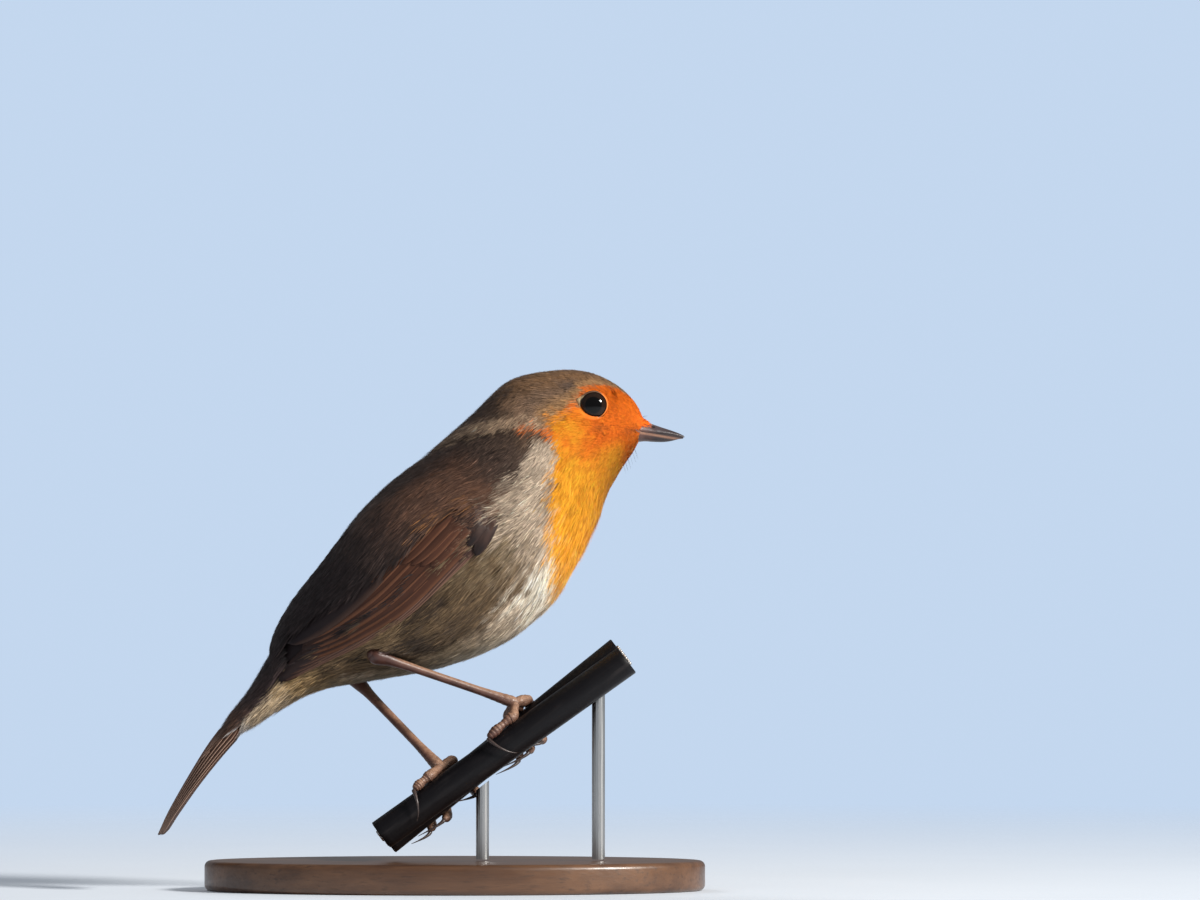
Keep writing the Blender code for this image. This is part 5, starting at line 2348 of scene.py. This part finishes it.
@dataclass(frozen=True)
class Leg:
    """A bare leg with its toes, scales, joints and claws."""

    plan: LegPlan
    perch: Perch
    shank: tuple[tuple[float, float], ...] = (  # shares from heel to foot, and radii
        (-0.05, 0.75), (-0.02, 1.2), (0.03, 1.38), (0.08, 1.28), (0.16, 0.98), (0.3, 0.86), (0.5, 0.84),
        (0.75, 0.86), (0.88, 1.0), (0.96, 1.2), (1.0, 1.22), (1.03, 0.8),
    )
    ankle: tuple[tuple[float, float], ...] = (
        (0, 1.7), (0.25, 1.45), (0.42, 1.62), (0.55, 1.62), (0.75, 1.15), (1, 0.8),
    )
    toe: tuple[tuple[float, float], ...] = (
        (0, 1.2), (0.1, 1.1), (0.5, 1), (0.93, 0.92), (0.98, 0.6), (1, 0.02),
    )
    heel_bulge: tuple[float, float, float] = (-0.55, 0, 0.35)
    # the way that the painted highlight faces
    lit_from: tuple[float, float, float] = (0.45, -0.35, 0.82)
    shank_scale: float = 1.08
    toe_sunk: float = 0.12
    toe_radius: float = 0.78
    swollen: float = 1.12
    gap: float = 0.3
    claw_radius: float = 0.45
    claw_points: int = 14
    claw_sway: float = 1.6

    def toe_path(self, toe: Toe) -> Array:
        """A toe's centreline from the ball of the foot, as in the solids.

        Args:
            toe: The toe.

        Returns:
            Its points.
        """
        height = self.perch.radius + self.toe_radius + self.gap - self.toe_sunk
        points = []
        for f in np.linspace(0, 1, 10):
            place, angle = toe.start + (toe.end - toe.start) * f, toe.first + (toe.last - toe.first) * f
            points.append(self.perch.round_strand(toe.strand, place, angle, height))
        hub = self.perch.foot(self.plan)
        return np.array([hub, hub * 0.5 + points[0] * 0.5, *points])

    def claw_path(self, toe: Toe) -> Array:
        """A claw's centreline, on round the strand from the toe.

        Args:
            toe: The toe.

        Returns:
            Its points.
        """
        base = self.perch.radius + self.toe_radius + self.gap
        tail = self.toe_path(toe)[-2:]
        start = unit(tail[1] - tail[0]) * self.claw_radius * 0.4
        sway = math.copysign(self.claw_sway, toe.claw_end - toe.end) if toe.strand == "near" else 0.0
        rows = []
        for f in np.linspace(0, 1, self.claw_points):
            place = toe.end + (toe.claw_end - toe.end) * f**1.6 + sway * f**2.4
            angle = toe.last + (toe.claw_angle - toe.last) * f
            height = base + 0.35 * math.sin(math.pi * f) - 0.25 * f
            spot = self.perch.round_strand(toe.strand, place, angle, height)
            rows.append(spot + start * (1 - f) ** 2)
        return np.array(rows)

    def toe_relief(self, joints: int) -> Shape:
        """The joints, pads and scutes along a toe, as a factor on its radius.

        Args:
            joints: How many joints it has.

        Returns:
            A function of the shares around and along.
        """

        def relief(_: Array, along: Array) -> Array:
            """The factor."""
            beat = along * (joints + 1)
            pad = 1 + 0.17 * np.cos(2 * math.pi * (beat - 0.5))
            return pad * (1 + 0.10 * np.abs(np.sin(along * math.pi * 5.0 * (joints + 1))))

        return relief

    def shank_relief(self, around: Array, along: Array) -> Array:
        """A keel down the back, and scutes near the foot and the heel, as a factor on the radius."""
        keel = 1 + 0.10 * np.cos(4 * math.pi * around)
        scutes = 0.05 * step_up(0.72, 0.85, along) + 0.012
        return keel * (1 + scutes * np.abs(np.sin(along * math.pi * 26)))

    def softened(self, knots: Sequence[Sequence[float]], shares: Array, end: float, scale: float) -> Array:
        """Radii through (share, radius) knots, evened out and closed at both ends."""
        radii = scale * np.interp(shares, *zip(*knots))
        radii = np.convolve(np.pad(radii, 3, mode="edge"), np.ones(7) / 7, mode="valid")
        radii[0] = radii[-1] = end
        return radii

    def add_shank(self, bm: Mesh, heel: Array, hub: Array) -> None:
        """Adds the bare shank, and the feathered knee over it.

        Args:
            bm: The mesh.
            heel: The heel.
            hub: The ball of the foot.
        """
        shares = np.linspace(self.shank[0][0], self.shank[-1][0], 90)
        path = heel + (hub - heel) * shares[:, None]
        path = path + np.array(self.heel_bulge) * hump(shares, 0.02, 0.06)[:, None]
        radii = self.softened(self.shank, shares, 0.02, self.shank_scale)
        Tube(path, radii, 20).add_to(bm, self.shank_relief)
        thigh, down = unit(np.array(self.plan.hip) - heel), unit(hub - heel)
        bend = heel - 0.5 * (thigh + down) + np.array((0.9, 0, 0))
        inward = np.array((0.0, -self.plan.side.value, 0.0))
        knee = smooth_path([
            bend + 5.0 * thigh + 4.2 * inward, bend + 2.4 * thigh + 1.5 * inward, bend,
            bend + 2.6 * down, bend + 5.0 * down,
        ], 40)
        bulk = self.softened(self.ankle, np.linspace(0, 1, 40), 0.03, 1.0)
        Tube(knee, bulk, 20).add_to(bm, self.shank_relief)

    def add_toes(self, bm: Mesh) -> None:
        """Adds the toes, with one joint in the first and one more in each that follows."""
        shares = np.linspace(0, 1, 80)
        for joints, toe in enumerate(self.plan.toes, start=1):
            thick = self.toe_radius * self.swollen * np.interp(shares, *zip(*self.toe))
            thick[0] = 0.3
            Tube(smooth_path(self.toe_path(toe), 80), thick, 16).add_to(bm, self.toe_relief(joints))

    def tints(self, bm: Mesh, heel: Array, hub: Array) -> Array:
        """What the scales' finish takes from the piece.

        Args:
            bm: The mesh.
            heel: The heel.
            hub: The ball of the foot.

        Returns:
            Shares of painted highlight, joint and scales for each vertex.
        """
        points = np.array([v.co for v in bm.verts])
        bm.normal_update()
        normals = np.array([v.normal for v in bm.verts])
        # painted highlight: paler on faces that turn towards the light, and near the foot
        lit = np.clip(normals @ np.array(self.lit_from), 0, 1) ** 3
        share = np.clip((points - heel) @ (hub - heel) / float((hub - heel) @ (hub - heel)), 0, 1)
        light = np.clip(lit * step_up(0.05, 0.2, share) * 0.8 + 0.25 * step_up(0.9, 1.0, share), 0, 1)
        joint = 0.85 * step_up(0.22, 0.04, share)
        return np.stack((light, joint, 0.10 + 0.75 * step_up(0.82, 0.97, share)), axis=1)

    def build(self, scales: Material, horn: Material) -> None:
        """Builds the leg and its claws.

        Args:
            scales: The leg's material.
            horn: The claws' material.
        """
        side = self.plan.side.word
        heel, hub = np.array(self.plan.heel), self.perch.foot(self.plan)
        bm = fresh_mesh(painted=True)
        self.add_shank(bm, heel, hub)
        self.add_toes(bm)
        bmesh.ops.recalc_face_normals(bm, faces=bm.faces)
        paint(bm, bm.verts, self.tints(bm, heel, hub))
        replaced = [f"tarsus_{side}"] + [f"toe_{side}_{n}" for n in (1, 2, 3, 4)]
        enlist(object_from(bm, f"leg_{side}", scales), replaced)

        bm = fresh_mesh()
        for toe in self.plan.toes:
            line = self.claw_path(toe)
            taper = np.linspace(self.claw_radius * 1.05, 0.05, len(line))
            taper[0] = 0.1
            Tube(line, taper, 12).add_to(bm)
        bmesh.ops.recalc_face_normals(bm, faces=bm.faces)
        replaced = [f"claw_{side}_{n}" for n in (1, 2, 3, 4)]
        enlist(object_from(bm, f"claws_{side}", horn), replaced)


@dataclass(frozen=True)
class Stand:
    """The oval wooden base and its two steel rods."""

    segments: int = 160
    edge: float = 1.2

    def build(self, wood: Material, steel: Material) -> None:
        """Builds the base round the solid's own box, and dresses the rods."""
        low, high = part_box("stand_base")
        size, middle = (high - low) / MM, (high + low) / 2 / MM
        bm = fresh_mesh()
        bmesh.ops.create_cone(
            bm, cap_ends=True, segments=self.segments, radius1=0.5, radius2=0.5, depth=1.0
        )
        bmesh.ops.scale(bm, vec=size, verts=bm.verts)
        bmesh.ops.translate(bm, vec=middle, verts=bm.verts)
        rims = [e for e in bm.edges if abs(e.verts[0].co.z - e.verts[1].co.z) < 0.01]
        bmesh.ops.bevel(
            bm, geom=rims, offset=self.edge, offset_type="OFFSET", affect="EDGES", segments=6,
            profile=0.5, material=-1, clamp_overlap=True,
        )
        obj = object_from(bm, "display_base", wood)
        enlist(obj, ["stand_base"])
        for name in ("stand_rod_low", "stand_rod_high"):
            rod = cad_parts[name]
            for slot in rod.material_slots:
                slot.material = steel
            LOG.info("%s: kept, new material", name)


# ---------------------------------------------------------------- studio


@dataclass(frozen=True)
class Studio:
    """Floor, lights, world and camera."""

    target: tuple[float, float, float] = (29.0, 0.0, 88.0)
    distance: float = 1500.0
    eye_height: float = 52.0
    frame_width: float = 240.0
    sensor: float = 36.0

    def build(self) -> None:
        """Sets the studio up."""
        scene = bpy.context.scene
        scene.view_settings.view_transform = "Standard"
        bm = fresh_mesh()
        bmesh.ops.create_circle(bm, cap_ends=True, segments=96, radius=9000.0)
        floor = object_from(bm, "studio_floor", FloorFinish().material())
        scene.collection.objects.link(floor)
        self.lamp("key", (1250, -800, 860), 380, 43.0, (1.0, 0.97, 0.92))
        self.lamp("fill", (-900, -1300, 500), 1200, 3.2, (0.92, 0.96, 1.0))
        self.lamp("rim", (-700, 1100, 900), 900, 8.0, (1.0, 1.0, 1.0))
        self.world()
        self.camera()

    def lamp(self, name: str, place: Sequence[float], size: float, power: float, colour: Colour) -> None:
        """Adds a round soft light that faces the bird."""
        data = bpy.data.lights.new(name, "AREA")
        data.energy, data.size, data.color, data.shape = power, size * MM, colour, "DISK"
        obj = bpy.data.objects.new(f"light_{name}", data)
        obj.location = Vector(place) * MM
        aim = Vector((0.0, 0.0, 0.075)) - obj.location
        obj.rotation_euler = aim.to_track_quat("-Z", "Y").to_euler()
        obj.visible_glossy = name == "key"
        bpy.context.scene.collection.objects.link(obj)

    def world(self) -> None:
        """A plain pale surround: a soft light, and a paler tone where the camera sees it."""
        world = bpy.data.worlds.new("studio_world")
        bpy.context.scene.world = world
        world.use_nodes = True
        tree = world.node_tree
        tree.nodes.clear()
        lit, seen = (tree.nodes.new("ShaderNodeBackground") for _ in range(2))
        lit.inputs[0].default_value = (0.86, 0.92, 1.0, 1.0)
        lit.inputs[1].default_value = 0.24
        seen.inputs[0].default_value = (0.55, 0.68, 0.86, 1.0)
        path = tree.nodes.new("ShaderNodeLightPath")
        mix = tree.nodes.new("ShaderNodeMixShader")
        out = tree.nodes.new("ShaderNodeOutputWorld")
        tree.links.new(path.outputs["Is Camera Ray"], mix.inputs[0])
        tree.links.new(lit.outputs[0], mix.inputs[1])
        tree.links.new(seen.outputs[0], mix.inputs[2])
        tree.links.new(mix.outputs[0], out.inputs[0])

    def camera(self) -> None:
        """A long lens, level with the legs, aimed at the middle of the view."""
        data = bpy.data.cameras.new("camera")
        data.sensor_width = self.sensor
        data.lens = self.sensor * self.distance / self.frame_width
        data.clip_start, data.clip_end = 0.05, 60.0
        obj = bpy.data.objects.new("camera", data)
        aim = Vector(self.target)
        obj.location = Vector((aim.x, aim.y - self.distance, self.eye_height)) * MM
        obj.rotation_euler = (aim * MM - obj.location).to_track_quat("-Z", "Y").to_euler()
        bpy.context.scene.collection.objects.link(obj)
        bpy.context.scene.camera = obj


LEGS = (
    LegPlan(
        Side.RIGHT, (-5.5, -12.4, 54.0), (-15.6, -11.2, 47.0), 13.1, 5.6, 0.7,
        (
            Toe("near", 11.2, 4.7, -2, -34, 5.9, -126),
            Toe("far", 10.6, 6.8, -4, 172, 1.4, 206),
            Toe("far", 13.1, 9.4, 6, 184, 3.2, 216),
            Toe("far", 15.6, 12.6, 0, 186, 9.4, 226),
        ),
    ),
    LegPlan(
        Side.LEFT, (-11.0, 9.6, 52.5), (-20.6, 10.4, 42.4), -6.6, 4.4, 2.4,
        (
            Toe("near", -9.0, -13.2, -2, -28, -14.9, -118),
            Toe("far", -4.0, -4.0, -2, 186, -8.3, 226),
            Toe("far", -6.6, -12.3, 6, 192, -18.4, 212),
            Toe("far", -9.2, -15.9, -4, 170, -20.4, 200),
        ),
    ),
)


def main() -> None:
    """Builds the whole model and the studio."""
    logging.basicConfig(level=logging.INFO, format="%(name)s: %(message)s")
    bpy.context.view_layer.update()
    body = BodyForm()
    wing, markings, eyes, perch = WingForm(body), Markings(), Eyes.from_solids(), Perch()

    Studio().build()
    vane = VaneFinish().material()
    plumage = PlumageFinish("soft_plumage").material()
    skin = Skin(body, markings, eyes, LEGS)
    enlist(
        skin.build(PlumageFinish("feathered_skin", bump_mm=0.12).material()),
        ["head", "neck", "trunk", "thigh_right", "thigh_left"],
    )
    Coat(body, wing, skin, markings, eyes, LEGS).build(plumage)
    for side in Side:
        WingFeathers(body=body, wing=wing, side=side).build(vane)
    TailFeathers().build(vane)

    horn = BillFinish().material()
    Bill().build(horn)
    Gape(body).build(horn)
    Bristles().build(ClawFinish((0.02, 0.014, 0.012)).material())
    pieces = EyePieces(eyes)
    glass, rim = EyeFinish(eyes.centre).material(), LidFinish().material()
    for side in Side:
        pieces.ball(side, glass)
        pieces.rim(side, rim)

    scales, claw = LegFinish().material(), ClawFinish().material()
    for plan in LEGS:
        Leg(plan, perch).build(scales, claw)
    perch.build(CableFinish().material(), CoreFinish().material())
    Stand().build(WoodFinish().material(), SteelFinish().material())

    bpy.context.view_layer.update()


if __name__ == "__main__":
    main()
